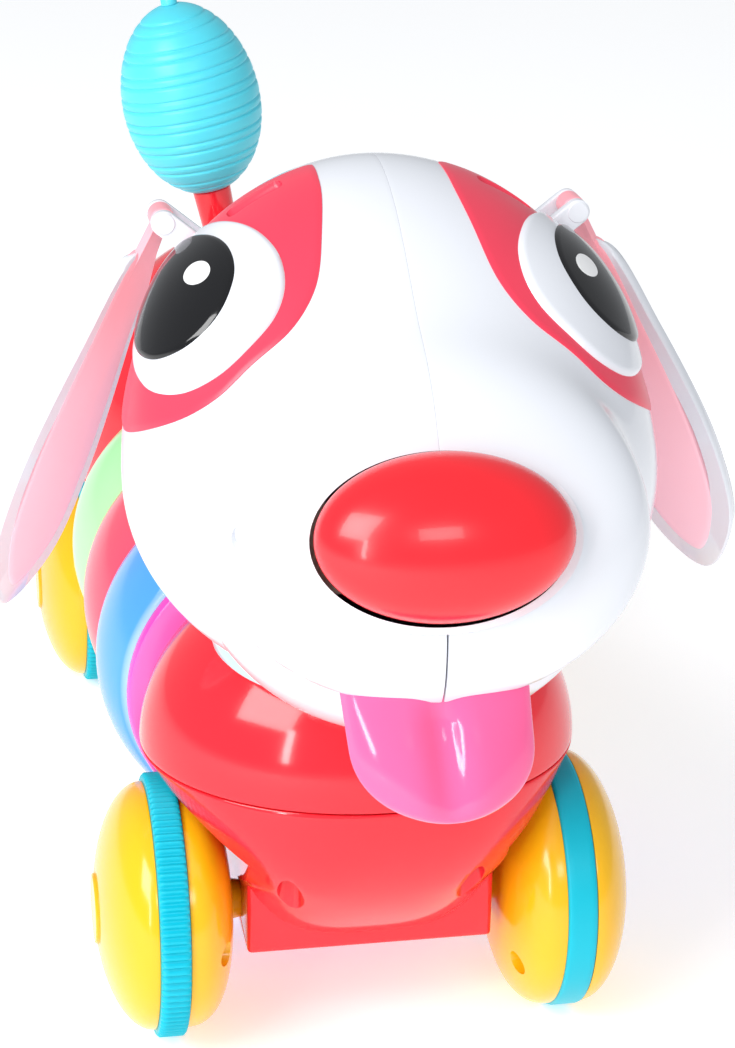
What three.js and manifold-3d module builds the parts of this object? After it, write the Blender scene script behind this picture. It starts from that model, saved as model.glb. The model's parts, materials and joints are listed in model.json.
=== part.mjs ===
// A wheeled robot dog toy: a big-headed puppy on four wheels whose body is a row of coloured rings.
// Units are millimetres. +Z is up, the dog looks along -Y, and the floor is z = 0.
// Inside the file, y is counted from the front axle; the exported group is then centred over the floor.
import * as THREE from "three";
import { mergeVertices } from "three/addons/utils/BufferGeometryUtils.js";
import Module from "manifold-3d";

const wasm = await Module();
wasm.setup();

// ---- Driving dimensions ----------------------------------------------------------------------
const WHEELBASE = 222;
const TRACK = 104;
const TYRE_RADIUS = 34.5;
const TYRE_WIDTH = 7.2;
const TYRE_SIDES = 24;
const AXLE_HEIGHT = TYRE_RADIUS * Math.cos(Math.PI / TYRE_SIDES);
const AXLE_RADIUS = 2;
const GRIP_DOME_RADIUS = 32.1; // wheels of the dog's right side, whose ribbed tyre stands proud
const PLAIN_DOME_RADIUS = 33.6; // wheels of the other side, whose smooth tyre is nearly flush
const OUTER_BULGE = 14;
const INNER_BULGE = 13.5;
const GAP = 0.3; // between touching pieces
const WALL = 2.2; // of every moulded shell
const SEAM_HEIGHT = 77; // where upper and lower body shells meet
const ORIGIN_FROM_FRONT_AXLE = 76.7; // along Y, to the middle of the whole dog

const HEAD_CENTRE = new THREE.Vector3(0, -30, 172);
// The skull is an egg that leans back, and the muzzle a flattened one that leans forward.
const SKULL = {
  centre: new THREE.Vector3(0, -29.5, 162.8),
  semi: new THREE.Vector3(63.3, 46, 78),
  semiBelow: 53.7,
  lean: -35,
};
const MUZZLE = {
  centre: new THREE.Vector3(0, -77, 162.6),
  semi: new THREE.Vector3(42.2, 31.4, 12.5),
  semiBelow: 12.5,
  lean: 67,
};
const HEAD_BLEND = 0.3;

const CHEST = { centre: new THREE.Vector3(0, 8, SEAM_HEIGHT), semi: new THREE.Vector3(56.5, 48, 47) };
const CHEST_REAR = 35;
const CHEST_FOOT = { halfWidth: 32, front: -17, bottom: 27 };
// How the lower chest narrows from the seam down: across, across below its bend, and from front to back.
const CHEST_TAPER = { across: 39, bend: 0.6, acrossBelow: 16, along: 28, alongPower: 2.2 };
const WHEEL_ARCH = { radius: 36.6, fromX: 33.2 }; // the room that the body leaves for each wheel

const RING_CENTRE_HEIGHT = 76;
const RING_HALF_WIDTH = 63;
const RING_HALF_HEIGHT = 53;
const RING_PITCH = 41.5;
const RING_CROWN = 5.5;
const THIN_RING = { front: 35.6, width: 5.4, halfWidth: 57 };
const BODY_RINGS_FRONT = 41.4;
const CORE_RADIUS = 42;

const RUMP = { centre: new THREE.Vector3(0, 207, 90), semi: new THREE.Vector3(56, 51, 68) };
const RUMP_FRONT = BODY_RINGS_FRONT + 3 * RING_PITCH;
const BELLY = { halfWidth: 31, front: RUMP_FRONT, rear: 246, bottom: 15, top: 60 };

const NOSE = {
  centre: new THREE.Vector3(0, -89.7, 169.3),
  semi: new THREE.Vector3(28.5, 14, 18.5),
  tilt: 27.6,
};
const NOSE_TRAVEL = 2.5;
const EAR_HINGE = new THREE.Vector3(50, 5, 216);
const EAR = { length: 104, width: 29, thickness: 6.5, forward: 4, flare: 21, turn: 42 };
const TAIL_HINGE = new THREE.Vector3(-5, 226, 144);
const TAIL = { lean: 12.5, stalkLength: 24, ballHeight: 62, ballRadius: 22 };

// How finely the round shapes are cut into flats: around and from pole to pole.
const HEAD_FACETS = [26, 18];
const BODY_FACETS = [20, 10];
const HOLLOW_FACETS = [16, 8];
const WHEEL_SIDES = 16;
const RING_SIDES = 20;

const GEAR_MODULE = 1;
const LARGE_TEETH = 24;
const SMALL_TEETH = 10;
const GEAR_LINE_ANGLE = 110; // degrees above +Y, from the rear axle up to the compound gear

// ---- Colours -----------------------------------------------------------------------------------
const COLOURS = {
  white: 0xf4f6fb, coral: 0xf8475c, black: 0x111216, tongue: 0xf77fae, earPink: 0xf9b9c9,
  ballBlue: 0x7fe3f2, yellow: 0xfbd21e, teal: 0x1fb3c8, magenta: 0xf95fc0, ringBlue: 0x5db4fb,
  ringRed: 0xf7586e, ringGreen: 0xb8f5b4, collar: 0xaee9f2, steel: 0xb9bdc2, board: 0x1d6b3c,
  dark: 0x2a2c30, cell: 0x3a7d4a, natural: 0xece6d2,
};

function plastic(colour) {
  return new THREE.MeshStandardMaterial({ color: colour, roughness: 0.25, metalness: 0 });
}

function metal(colour) {
  return new THREE.MeshStandardMaterial({ color: colour, roughness: 0.3, metalness: 0.9 });
}

// ---- Solids ------------------------------------------------------------------------------------
function solid(geometry) {
  const bare = new THREE.BufferGeometry();
  bare.setAttribute("position", geometry.attributes.position);
  bare.setIndex(geometry.index);
  const merged = mergeVertices(bare, 1e-4);
  const mesh = new wasm.Mesh({
    numProp: 3,
    vertProperties: new Float32Array(merged.attributes.position.array),
    triVerts: new Uint32Array(merged.index.array),
  });
  return new wasm.Manifold(mesh);
}

function geometryOf(body) {
  const mesh = body.getMesh();
  const geometry = new THREE.BufferGeometry();
  geometry.setAttribute("position", new THREE.BufferAttribute(mesh.vertProperties, 3));
  geometry.setIndex(new THREE.BufferAttribute(mesh.triVerts, 1));
  geometry.computeVertexNormals();
  return geometry;
}

function join(...bodies) {
  return bodies.reduce((all, body) => all.add(body));
}

function cut(body, ...tools) {
  return tools.reduce((left, tool) => left.subtract(tool), body);
}

function addMesh(parent, name, shape, material) {
  const mesh = new THREE.Mesh(shape.isBufferGeometry ? shape : geometryOf(shape), material);
  mesh.name = name;
  parent.add(mesh);
  return mesh;
}

function addGroup(parent, position) {
  const group = new THREE.Group();
  group.position.copy(position);
  parent.add(group);
  return group;
}

function boxBetween(low, high) {
  const size = high.map((value, axis) => value - low[axis]);
  const box = new THREE.BoxGeometry(...size);
  box.translate(...low.map((value, axis) => value + size[axis] / 2));
  return box;
}

// A round bar from one point, along "x", "y" or "z".
function bar(radius, length, axis, start, sides = 16) {
  const geometry = new THREE.CylinderGeometry(radius, radius, length, sides);
  geometry.translate(0, length / 2, 0);
  if (axis === "x") geometry.rotateZ(-Math.PI / 2);
  if (axis === "z") geometry.rotateX(Math.PI / 2);
  geometry.translate(...start);
  return geometry;
}

// A turned solid about Y from a closed outline of [radius, height] pairs, or one that ends on the axis.
function turned(outline, sides) {
  const points = outline.map(([radius, height]) => new THREE.Vector2(radius, height));
  if (THREE.ShapeUtils.area(points) < 0) points.reverse();
  const onAxis = points.findIndex((point) => point.x === 0);
  if (onAxis >= 0) {
    // Start just after the stretch that lies on the axis, so that the profile ends on the axis.
    const last = points.findIndex((point, i) => point.x === 0 && points[(i + 1) % points.length].x > 0);
    points.push(...points.splice(0, last));
  } else {
    points.push(points[0].clone());
  }
  return new THREE.LatheGeometry(points, sides, Math.PI / sides);
}

// Points of a quarter ellipse from the axis (0, height) to the rim (radius, 0).
function quarterArc(radius, height, steps, start = 0) {
  const from = Math.asin(start / radius);
  return Array.from({ length: steps + 1 }, (_, i) => {
    const angle = from + ((Math.PI / 2 - from) * i) / steps;
    return [radius * Math.sin(angle), height * Math.cos(angle)];
  });
}

// A closed surface round a centre, whose distance from it depends on the direction.
function roundSurface(centre, distance, columns, rows) {
  const geometry = new THREE.SphereGeometry(1, columns, rows);
  geometry.rotateX(Math.PI / 2);
  const position = geometry.attributes.position;
  const direction = new THREE.Vector3();
  for (let i = 0; i < position.count; i += 1) {
    direction.fromBufferAttribute(position, i).normalize();
    direction.set(...direction.toArray().map((value) => Math.round(value * 1e6) / 1e6));
    const reach = distance(direction);
    position.setXYZ(i, ...direction.multiplyScalar(reach).add(centre).toArray());
  }
  return geometry;
}

function ellipsoid(centre, semi, columns, rows) {
  const geometry = new THREE.SphereGeometry(1, columns, rows);
  geometry.rotateX(Math.PI / 2);
  geometry.scale(...semi.toArray());
  geometry.translate(...centre.toArray());
  return geometry;
}

// ---- Head surface ------------------------------------------------------------------------------
const ACROSS = new THREE.Vector3(1, 0, 0);

// How far outside an egg a point is, as a share of the egg's size. Below its middle the egg may be shorter.
function eggField(point, egg) {
  const offset = point.clone().sub(egg.centre).applyAxisAngle(ACROSS, THREE.MathUtils.degToRad(-egg.lean));
  const height = offset.z < 0 ? egg.semiBelow : egg.semi.z;
  return Math.hypot(offset.x / egg.semi.x, offset.y / egg.semi.y, offset.z / height) - 1;
}

// Negative inside the head: the skull and the muzzle, melted together.
function headField(point) {
  const skull = eggField(point, SKULL);
  const muzzle = eggField(point, MUZZLE);
  const nearer = Math.min(skull, muzzle);
  const sum = Math.exp((nearer - skull) / HEAD_BLEND) + Math.exp((nearer - muzzle) / HEAD_BLEND);
  return nearer - HEAD_BLEND * Math.log(sum);
}

function headReach(direction) {
  let inside = 10;
  let outside = 140;
  for (let i = 0; i < 30; i += 1) {
    const middle = (inside + outside) / 2;
    const point = direction.clone().multiplyScalar(middle).add(HEAD_CENTRE);
    if (headField(point) < 0) inside = middle;
    else outside = middle;
  }
  return inside;
}

function headSurface(offset, columns, rows) {
  return roundSurface(HEAD_CENTRE, (direction) => headReach(direction) + offset, columns, rows);
}

// The eye's own place on the head, with u towards the back of the head and v up, for one side.
function eyeFrame(side) {
  const out = new THREE.Vector3(47 * side, -34, 207).sub(HEAD_CENTRE).normalize();
  const origin = out.clone().multiplyScalar(headReach(out)).add(HEAD_CENTRE);
  const up = new THREE.Vector3(0, 0, 1).addScaledVector(out, -out.z).normalize();
  const back = new THREE.Vector3().crossVectors(up, out).multiplyScalar(side).normalize();
  return { origin, up, back };
}

// A plate that lies on the head: its outline is a smooth loop through [u, v] points about a middle.
function headPlate(side, loop, middle, inner, outer, crown, rings, steps) {
  const frame = eyeFrame(side);
  const curve = new THREE.CatmullRomCurve3(loop.map(([u, v]) => new THREE.Vector3(u, v, 0)), true);
  const rim = Array.from({ length: steps }, (_, i) => curve.getPoint(i / steps));
  if (side < 0) rim.reverse();
  const at = (u, v, offset) => {
    const point = frame.origin.clone().addScaledVector(frame.back, u).addScaledVector(frame.up, v);
    const direction = point.sub(HEAD_CENTRE).normalize();
    return direction.clone().multiplyScalar(headReach(direction) + offset).add(HEAD_CENTRE);
  };
  const vertices = [];
  const addLayer = (offsetAt) => {
    vertices.push(at(...middle, offsetAt(0)));
    for (let ring = 1; ring <= rings; ring += 1) {
      const t = ring / rings;
      for (const point of rim) {
        const u = middle[0] + (point.x - middle[0]) * t;
        const v = middle[1] + (point.y - middle[1]) * t;
        vertices.push(at(u, v, offsetAt(t)));
      }
    }
  };
  addLayer((t) => outer + crown * (1 - t * t));
  addLayer(() => inner);
  const layer = 1 + rings * steps;
  const triangles = [];
  const fan = (base, flip) => {
    for (let i = 0; i < steps; i += 1) {
      const next = (i + 1) % steps;
      const add = (a, b, c) => triangles.push(...(flip ? [a, c, b] : [a, b, c]));
      add(base, base + 1 + i, base + 1 + next);
      for (let ring = 1; ring < rings; ring += 1) {
        const near = base + 1 + (ring - 1) * steps;
        const far = near + steps;
        add(near + i, far + i, far + next);
        add(near + i, far + next, near + next);
      }
    }
  };
  fan(0, false);
  fan(layer, true);
  const edge = 1 + (rings - 1) * steps;
  for (let i = 0; i < steps; i += 1) {
    const next = (i + 1) % steps;
    triangles.push(edge + i, layer + edge + i, layer + edge + next);
    triangles.push(edge + i, layer + edge + next, edge + next);
  }
  const geometry = new THREE.BufferGeometry();
  const flat = new Float32Array(vertices.flatMap((vertex) => vertex.toArray()));
  geometry.setAttribute("position", new THREE.BufferAttribute(flat, 3));
  geometry.setIndex(triangles);
  if (solid(geometry).volume() < 0) geometry.setIndex(triangles.reverse());
  return geometry;
}

const dog = new THREE.Group();
dog.position.y = -ORIGIN_FROM_FRONT_AXLE;

// ---- Wheels and axles --------------------------------------------------------------------------
function outerDome(radius) {
  const outside = quarterArc(radius, OUTER_BULGE, 4);
  const inside = quarterArc(radius - WALL, OUTER_BULGE - WALL, 2);
  return turned([...outside, ...inside.reverse()], WHEEL_SIDES);
}

// The inner half of a wheel: its dome, the rim that the tyre sits on, and the sleeve on the axle.
function wheelHub(radius) {
  const bore = AXLE_RADIUS + GAP;
  const rimRadius = 28.5;
  const rimDepth = TYRE_WIDTH + GAP;
  const sleeve = 5;
  const outside = quarterArc(radius, INNER_BULGE, 3, bore);
  const inside = quarterArc(rimRadius - WALL, INNER_BULGE - WALL, 1, sleeve);
  const rim = [[rimRadius, 0], [rimRadius, -rimDepth], [rimRadius - WALL, -rimDepth]];
  const core = [[sleeve, -rimDepth], [bore, -rimDepth]];
  return turned([...outside, ...rim, ...inside.reverse(), ...core], WHEEL_SIDES);
}

function tyre(domeRadius) {
  const half = TYRE_WIDTH / 2;
  const rim = 29.2;
  const shoulder = Math.min(domeRadius, TYRE_RADIUS - 0.8);
  return turned([[rim, -half], [shoulder, -half], [TYRE_RADIUS, -half + 1], [TYRE_RADIUS, half - 1],
    [shoulder, half], [rim, half]], TYRE_SIDES);
}

function addWheel(name, side, y, domeRadius) {
  const wheel = addGroup(dog, new THREE.Vector3((side * TRACK) / 2, y, AXLE_HEIGHT));
  wheel.rotation.z = (-side * Math.PI) / 2;
  const edge = TYRE_WIDTH / 2 + GAP;
  addMesh(wheel, name + "_tyre", tyre(domeRadius), plastic(COLOURS.teal));
  addMesh(wheel, name + "_outer_dome", outerDome(domeRadius), plastic(COLOURS.yellow)).position.y = edge;
  const hub = addMesh(wheel, name + "_hub", wheelHub(domeRadius), plastic(COLOURS.yellow));
  hub.position.y = -edge;
  hub.rotation.x = Math.PI;
}

function addAxle(name, y) {
  const reach = TRACK / 2 + TYRE_WIDTH / 2 - 1;
  addMesh(dog, name, bar(AXLE_RADIUS, 2 * reach, "x", [-reach, y, AXLE_HEIGHT]), metal(COLOURS.steel));
}

for (const [end, y] of [["front", 0], ["rear", WHEELBASE]]) {
  addWheel(end + "_right_wheel", -1, y, GRIP_DOME_RADIUS);
  addWheel(end + "_left_wheel", 1, y, PLAIN_DOME_RADIUS);
  addAxle(end + "_axle", y);
}

// ---- Chest -------------------------------------------------------------------------------------
const FAR = 200;

function halfSpace(axis, from, towards) {
  const low = [-FAR, -FAR, -FAR];
  const high = [FAR, 2 * FAR, 2 * FAR];
  if (towards > 0) low[axis] = from;
  else high[axis] = from;
  return solid(boxBetween(low, high));
}

// Both wheels' room on one axle: two drums, larger by an allowance.
function wheelRoom(y, allowance) {
  const length = 60;
  const radius = WHEEL_ARCH.radius + allowance;
  const fromX = WHEEL_ARCH.fromX - allowance;
  return join(
    solid(bar(radius, length, "x", [fromX, y, AXLE_HEIGHT], 24)),
    solid(bar(radius, length, "x", [-fromX - length, y, AXLE_HEIGHT], 24)),
  );
}

function axleHole(y) {
  return solid(bar(AXLE_RADIUS + 2 * GAP, 90, "x", [-45, y, AXLE_HEIGHT]));
}

function chestDome(inset) {
  const semi = CHEST.semi.clone().subScalar(inset);
  return solid(ellipsoid(CHEST.centre, semi, ...BODY_FACETS));
}

// The lower chest: a bowl whose sides run straight in and whose front curves under, joined to a square foot.
function chestBowl(inset) {
  const depth = SEAM_HEIGHT - CHEST_FOOT.bottom;
  const bowl = new THREE.CylinderGeometry(1, 1, depth - inset, BODY_FACETS[0], 5);
  bowl.rotateX(Math.PI / 2);
  bowl.translate(0, 0, SEAM_HEIGHT - (depth - inset) / 2);
  const position = bowl.attributes.position;
  for (let i = 0; i < position.count; i += 1) {
    const drop = (SEAM_HEIGHT - position.getZ(i)) / depth;
    const taper = CHEST_TAPER;
    const narrowing = taper.across * Math.min(drop, taper.bend) + taper.acrossBelow * Math.max(drop - taper.bend, 0);
    const halfWidth = CHEST.semi.x - inset - narrowing;
    const reach = CHEST.semi.y - inset - taper.along * drop ** taper.alongPower;
    const squareness = 2 + Math.min(2 * drop, 1);
    const across = Math.abs(position.getX(i));
    const along = Math.abs(position.getY(i));
    const sum = Math.max(across ** squareness + along ** squareness, 1e-9);
    const spread = sum ** (-1 / squareness) * Math.hypot(across, along);
    const y = CHEST.centre.y + position.getY(i) * reach * spread;
    position.setXY(i, position.getX(i) * halfWidth * spread, y);
  }
  const foot = boxBetween(
    [-CHEST_FOOT.halfWidth + inset, CHEST_FOOT.front + inset, CHEST_FOOT.bottom + inset],
    [CHEST_FOOT.halfWidth - inset, CHEST_REAR + 3, SEAM_HEIGHT - 15],
  );
  return join(solid(bowl), solid(foot));
}

const NECK = { y: -8, radius: 24, low: 98, high: 136 };

function neckBore(radius) {
  return solid(bar(radius, 90, "z", [0, NECK.y, 90], 24));
}

const behindChest = halfSpace(1, CHEST_REAR, 1);
const aboveSeam = halfSpace(2, SEAM_HEIGHT - GAP / 2, 1);
const belowSeam = halfSpace(2, SEAM_HEIGHT + GAP / 2, -1);
const SCREW_WELL = { radius: 3.2, x: 24, y: -30.5, depth: 31 };

function chestUpperShell() {
  const shell = cut(chestDome(0), chestDome(WALL), behindChest, belowSeam);
  return cut(shell, neckBore(NECK.radius), coreRoom(CHEST_REAR - 9));
}

function chestLowerShell() {
  const hollow = cut(chestBowl(WALL), wheelRoom(0, WALL));
  const { radius, x: wellX, y: wellY, depth } = SCREW_WELL;
  const screwWells = [-wellX, wellX].map((x) =>
    solid(bar(radius, depth, "z", [x, wellY, CHEST_FOOT.bottom - 1], 10)));
  const grille = [-10, 0, 10].map((x) => solid(bar(1.6, 8, "z", [x, 20, CHEST_FOOT.bottom - 3], 8)));
  return cut(chestBowl(0), hollow, wheelRoom(0, 0), behindChest, aboveSeam, axleHole(0),
    coreRoom(CHEST_REAR - 9), ...screwWells, ...grille);
}

// ---- Rings on the core tube --------------------------------------------------------------------
// Rings are turned about Y and then flattened to the body's oval.
function ovalRing(halfWidth, front, outline) {
  const ring = turned(outline, RING_SIDES);
  const size = halfWidth / RING_HALF_WIDTH;
  ring.scale(size, 1, (size * RING_HALF_HEIGHT) / RING_HALF_WIDTH);
  ring.translate(0, front, RING_CENTRE_HEIGHT);
  return ring;
}

// The room that an end of the core tube takes in a body shell, from one place along Y.
function coreRoom(front) {
  const seat = CORE_RADIUS + GAP;
  const length = 18;
  return solid(ovalRing(RING_HALF_WIDTH, front, [[0, 0], [seat, 0], [seat, length], [0, length]]));
}

function bodyRing(index) {
  const width = RING_PITCH - GAP;
  const outer = [0, 0.25, 0.75, 1].map((t) => {
    const bulge = Math.sqrt(1 - (2 * t - 1) ** 2 * 0.75);
    return [RING_HALF_WIDTH - RING_CROWN * 2 * (1 - bulge), width * t];
  });
  const seat = CORE_RADIUS + GAP;
  const hollow = RING_HALF_WIDTH - RING_CROWN * 2 - WALL;
  const far = width - WALL;
  const inner = [[seat, width], [seat, far], [hollow, far], [hollow, WALL], [seat, WALL], [seat, 0]];
  return ovalRing(RING_HALF_WIDTH, BODY_RINGS_FRONT + index * RING_PITCH, [...outer, ...inner]);
}

function thinRing() {
  const radius = RING_HALF_WIDTH;
  const width = THIN_RING.width;
  const seat = CORE_RADIUS * (RING_HALF_WIDTH / THIN_RING.halfWidth) + GAP;
  return ovalRing(THIN_RING.halfWidth, THIN_RING.front,
    [[seat, 0], [radius - 1, 0], [radius, width / 2], [radius - 1, width], [seat, width]]);
}

function coreTube() {
  const front = CHEST_REAR - 8;
  const length = RUMP_FRONT + 8 - front;
  const inner = CORE_RADIUS - WALL;
  const outline = [[CORE_RADIUS, 0], [CORE_RADIUS, length], [inner, length], [inner, 0]];
  return ovalRing(RING_HALF_WIDTH, front, outline);
}

addMesh(dog, "chest_upper_shell", chestUpperShell(), plastic(COLOURS.coral));
addMesh(dog, "chest_lower_shell", chestLowerShell(), plastic(COLOURS.coral));
addMesh(dog, "core_tube", coreTube(), plastic(COLOURS.white));
addMesh(dog, "thin_ring", thinRing(), plastic(COLOURS.magenta));
addMesh(dog, "front_ring", bodyRing(0), plastic(COLOURS.ringBlue));
addMesh(dog, "middle_ring", bodyRing(1), plastic(COLOURS.ringRed));
addMesh(dog, "rear_ring", bodyRing(2), plastic(COLOURS.ringGreen));

// ---- Rump ----------------------------------------------------------------------------------------
function rumpDome(inset) {
  const semi = RUMP.semi.clone().subScalar(inset);
  return solid(ellipsoid(RUMP.centre, semi, ...BODY_FACETS));
}

function belly(inset) {
  return solid(boxBetween(
    [-BELLY.halfWidth + inset, BELLY.front, BELLY.bottom + inset],
    [BELLY.halfWidth - inset, BELLY.rear - inset, BELLY.top],
  ));
}

const aheadOfRump = halfSpace(1, RUMP_FRONT + GAP, -1);
const TAIL_SLOT_HALF = 7;
const TAIL_PIN = { radius: 1.6, halfLength: 9.5 };
const DOOR = { halfWidth: 26, front: 170, rear: 213 };
const SWITCH_SLOT = { halfWidth: 9, front: 230.5, rear: 237.5 };
const DOOR_SCREW = { y: 210, shaft: 1, head: 2.6 };

function bellyHole(halfWidth, front, rear) {
  return solid(boxBetween([-halfWidth, front, BELLY.bottom - 5], [halfWidth, rear, BELLY.bottom + 12]));
}

// The slot that the tail stands in, with a lug at each end that holds its pin.
function tailSlot() {
  const { x, y } = TAIL_HINGE;
  return solid(boxBetween([x - 13.5, y - TAIL_SLOT_HALF, 130], [x + 8, y + TAIL_SLOT_HALF, 175]));
}

function tailLugs() {
  const { x, y, z } = TAIL_HINGE;
  const lugs = [y - TAIL_SLOT_HALF - 3, y + TAIL_SLOT_HALF].map((start) =>
    solid(boxBetween([x - 5, start, z - 5], [x + 5, start + 3, z + 12])));
  return join(...lugs).intersect(rumpDome(0.5));
}

function rumpUpperShell() {
  const { x, y, z } = TAIL_HINGE;
  const pinHole = solid(bar(TAIL_PIN.radius + GAP, 20, "y", [x, y - 10, z], 10));
  const shell = cut(rumpDome(0), rumpDome(WALL), aheadOfRump, belowSeam);
  const open = cut(shell, tailSlot(), coreRoom(RUMP_FRONT - 5));
  return cut(join(open, tailLugs()), pinHole);
}

// A bar across the belly, over the battery door's rear edge, that takes the door's screw.
function screwBar() {
  const floor = BELLY.bottom + WALL;
  const half = BELLY.halfWidth - 1;
  const beam = boxBetween([-half, DOOR_SCREW.y - 2.5, floor + 0.4], [half, DOOR_SCREW.y + 2.5, 24]);
  return cut(solid(beam), solid(bar(DOOR_SCREW.shaft + GAP, 20, "z", [0, DOOR_SCREW.y, 10], 10)));
}

function rumpLowerShell() {
  const hollow = cut(join(rumpDome(WALL), belly(WALL)), wheelRoom(WHEELBASE, WALL));
  const shell = cut(join(rumpDome(0), belly(0)), hollow, wheelRoom(WHEELBASE, 0), aheadOfRump, aboveSeam,
    axleHole(WHEELBASE), coreRoom(RUMP_FRONT - 5), bellyHole(DOOR.halfWidth, DOOR.front, DOOR.rear),
    bellyHole(SWITCH_SLOT.halfWidth, SWITCH_SLOT.front, SWITCH_SLOT.rear));
  return join(shell, screwBar());
}

addMesh(dog, "rump_upper_shell", rumpUpperShell(), plastic(COLOURS.coral));
addMesh(dog, "rump_lower_shell", rumpLowerShell(), plastic(COLOURS.coral));

// ---- Head ----------------------------------------------------------------------------------------
// The nose's own frame: x across, z up along the rim, -y out of the face.
function inNoseFrame(geometry) {
  geometry.rotateX(THREE.MathUtils.degToRad(-NOSE.tilt));
  geometry.translate(...NOSE.centre.toArray());
  return solid(geometry);
}

const NOSE_BACK = 7; // how far the button reaches behind its rim plane
const STEM = { radius: 4, end: 14 };
const PLATE_FRONT = 12; // the nose bracket's front plate, behind the rim plane
const PLATE_THICKNESS = 2;
const SWITCH = { front: 17, depth: 4 };

function noseSocket() {
  const socket = new THREE.CylinderGeometry(1, 1, 60, 24);
  socket.scale(NOSE.semi.x + 0.8, 1, NOSE.semi.z + 0.8);
  return inNoseFrame(socket);
}

function noseButton() {
  const outside = ellipsoid(new THREE.Vector3(), NOSE.semi, 18, 10);
  const inside = ellipsoid(new THREE.Vector3(), NOSE.semi.clone().subScalar(WALL), 12, 6);
  const behind = boxBetween([-40, NOSE_BACK, -30], [40, 40, 30]);
  const stemStart = -NOSE.semi.y + WALL / 2;
  const stem = bar(STEM.radius, STEM.end - stemStart, "y", [0, stemStart, 0], 12);
  const cap = cut(inNoseFrame(outside), inNoseFrame(inside), inNoseFrame(behind));
  return cap.add(inNoseFrame(stem));
}

// The return spring, drawn at the length that it has with the nose pressed in.
function noseSpring() {
  const radius = 6.3;
  const wire = 0.6;
  const clearance = 2.3;
  const start = -NOSE.semi.y + WALL + NOSE_TRAVEL + clearance;
  const length = PLATE_FRONT - GAP - wire - start;
  const turns = 3;
  class Helix extends THREE.Curve {
    getPoint(t, target = new THREE.Vector3()) {
      const angle = 2 * Math.PI * turns * t;
      return target.set(radius * Math.cos(angle), start + length * t, radius * Math.sin(angle));
    }
  }
  const section = new THREE.Shape();
  section.absarc(0, 0, wire, 0, 2 * Math.PI);
  const options = { steps: 10 * turns, curveSegments: 2, extrudePath: new Helix(), bevelEnabled: false };
  return inNoseFrame(new THREE.ExtrudeGeometry(section, options));
}

// A frame behind the nose: its front plate guides the stem and its back plate carries the switch.
function noseBracket() {
  const back = SWITCH.front + SWITCH.depth + GAP;
  const front = boxBetween([-45, PLATE_FRONT, -10], [45, PLATE_FRONT + PLATE_THICKNESS, 10]);
  const rear = boxBetween([-14, back, -8], [14, back + PLATE_THICKNESS, 8]);
  const sides = [-14, 12].map((x) => inNoseFrame(boxBetween([x, PLATE_FRONT, -8], [x + 2, back + 1, 8])));
  const guide = inNoseFrame(bar(STEM.radius + 2 * GAP, 6, "y", [0, PLATE_FRONT - 1, 0], 12));
  const whole = cut(join(inNoseFrame(front), inNoseFrame(rear), ...sides), guide);
  return whole.intersect(solid(headSurface(-WALL - 1, ...HOLLOW_FACETS)));
}

function noseSwitch() {
  return inNoseFrame(boxBetween([-4, SWITCH.front, -4], [4, SWITCH.front + SWITCH.depth, 4]));
}

// The leaf of an ear in its own frame: z down its length from the hinge, y across, x outward.
function earLeaf(margin, thickness, outward) {
  const half = EAR.width / 2 - margin;
  const tip = -EAR.length + margin;
  const middle = -EAR.forward;
  const shares = [[0.3, 0.1], [0.68, 0.32], [1, 0.66], [0.8, 0.88]];
  const side = shares.map(([out, down]) => [half * out, tip * down]);
  const outline = [
    ...side.map(([out, z]) => [middle * Math.min(1, (-z / EAR.length) * 2) - out, z]),
    [middle, tip],
    ...side.reverse().map(([out, z]) => [middle * Math.min(1, (-z / EAR.length) * 2) + out, z]),
  ];
  const loop = new THREE.CatmullRomCurve3(outline.map(([y, z]) => new THREE.Vector3(y, z, 0)), true);
  const rim = loop.getSpacedPoints(22).slice(0, -1);
  const shape = new THREE.Shape(rim.map((point) => new THREE.Vector2(point.x, point.y)));
  const leaf = new THREE.ExtrudeGeometry(shape, { depth: thickness, bevelEnabled: false });
  leaf.applyMatrix4(new THREE.Matrix4().makeBasis(
    new THREE.Vector3(0, 1, 0), new THREE.Vector3(0, 0, 1), new THREE.Vector3(1, 0, 0)));
  leaf.translate(outward, 0, 0);
  return inEarFrame(leaf);
}

function inEarFrame(geometry) {
  const turn = new THREE.Euler(
    0,
    THREE.MathUtils.degToRad(-EAR.flare),
    THREE.MathUtils.degToRad(EAR.turn),
    "YXZ",
  );
  geometry.applyMatrix4(new THREE.Matrix4().makeRotationFromEuler(turn));
  return solid(geometry);
}

const EAR_PAD_MARGIN = 3;
const EAR_PAD_THICKNESS = 2;
const KNUCKLE = { radius: 3.8, halfLength: 3.5 };
const HINGE_PIN_RADIUS = 1.2;

function earKnuckle(radius, halfLength) {
  return solid(bar(radius, 2 * halfLength, "y", [0, -halfLength, 0], 12));
}

// The room that the hinge needs in the top of the ear.
function hingeRoom() {
  const half = KNUCKLE.halfLength + 4;
  return solid(boxBetween([-12, -half, -KNUCKLE.radius - 2.5], [4.5, half, 12]));
}

function earNeck(extra) {
  return inEarFrame(boxBetween([-extra, -2.4 - extra, -17], [EAR_PAD_THICKNESS + extra, 2.4 + extra, 0]));
}

function earShell() {
  const pocket = earLeaf(EAR_PAD_MARGIN - GAP, EAR_PAD_THICKNESS + GAP + 5, -5);
  const leaf = cut(earLeaf(0, EAR.thickness, 0), pocket, hingeRoom());
  return cut(leaf, earKnuckle(KNUCKLE.radius + GAP, 5), earNeck(GAP));
}

// The pad carries the hinge knuckle, so pad and shell swing together.
function earPad() {
  const pad = cut(earLeaf(EAR_PAD_MARGIN, EAR_PAD_THICKNESS, 0), hingeRoom());
  const pinHole = solid(bar(HINGE_PIN_RADIUS + GAP, 40, "y", [0, -20, 0], 10));
  return cut(join(pad, earNeck(0), earKnuckle(KNUCKLE.radius, KNUCKLE.halfLength)), pinHole);
}

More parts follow.
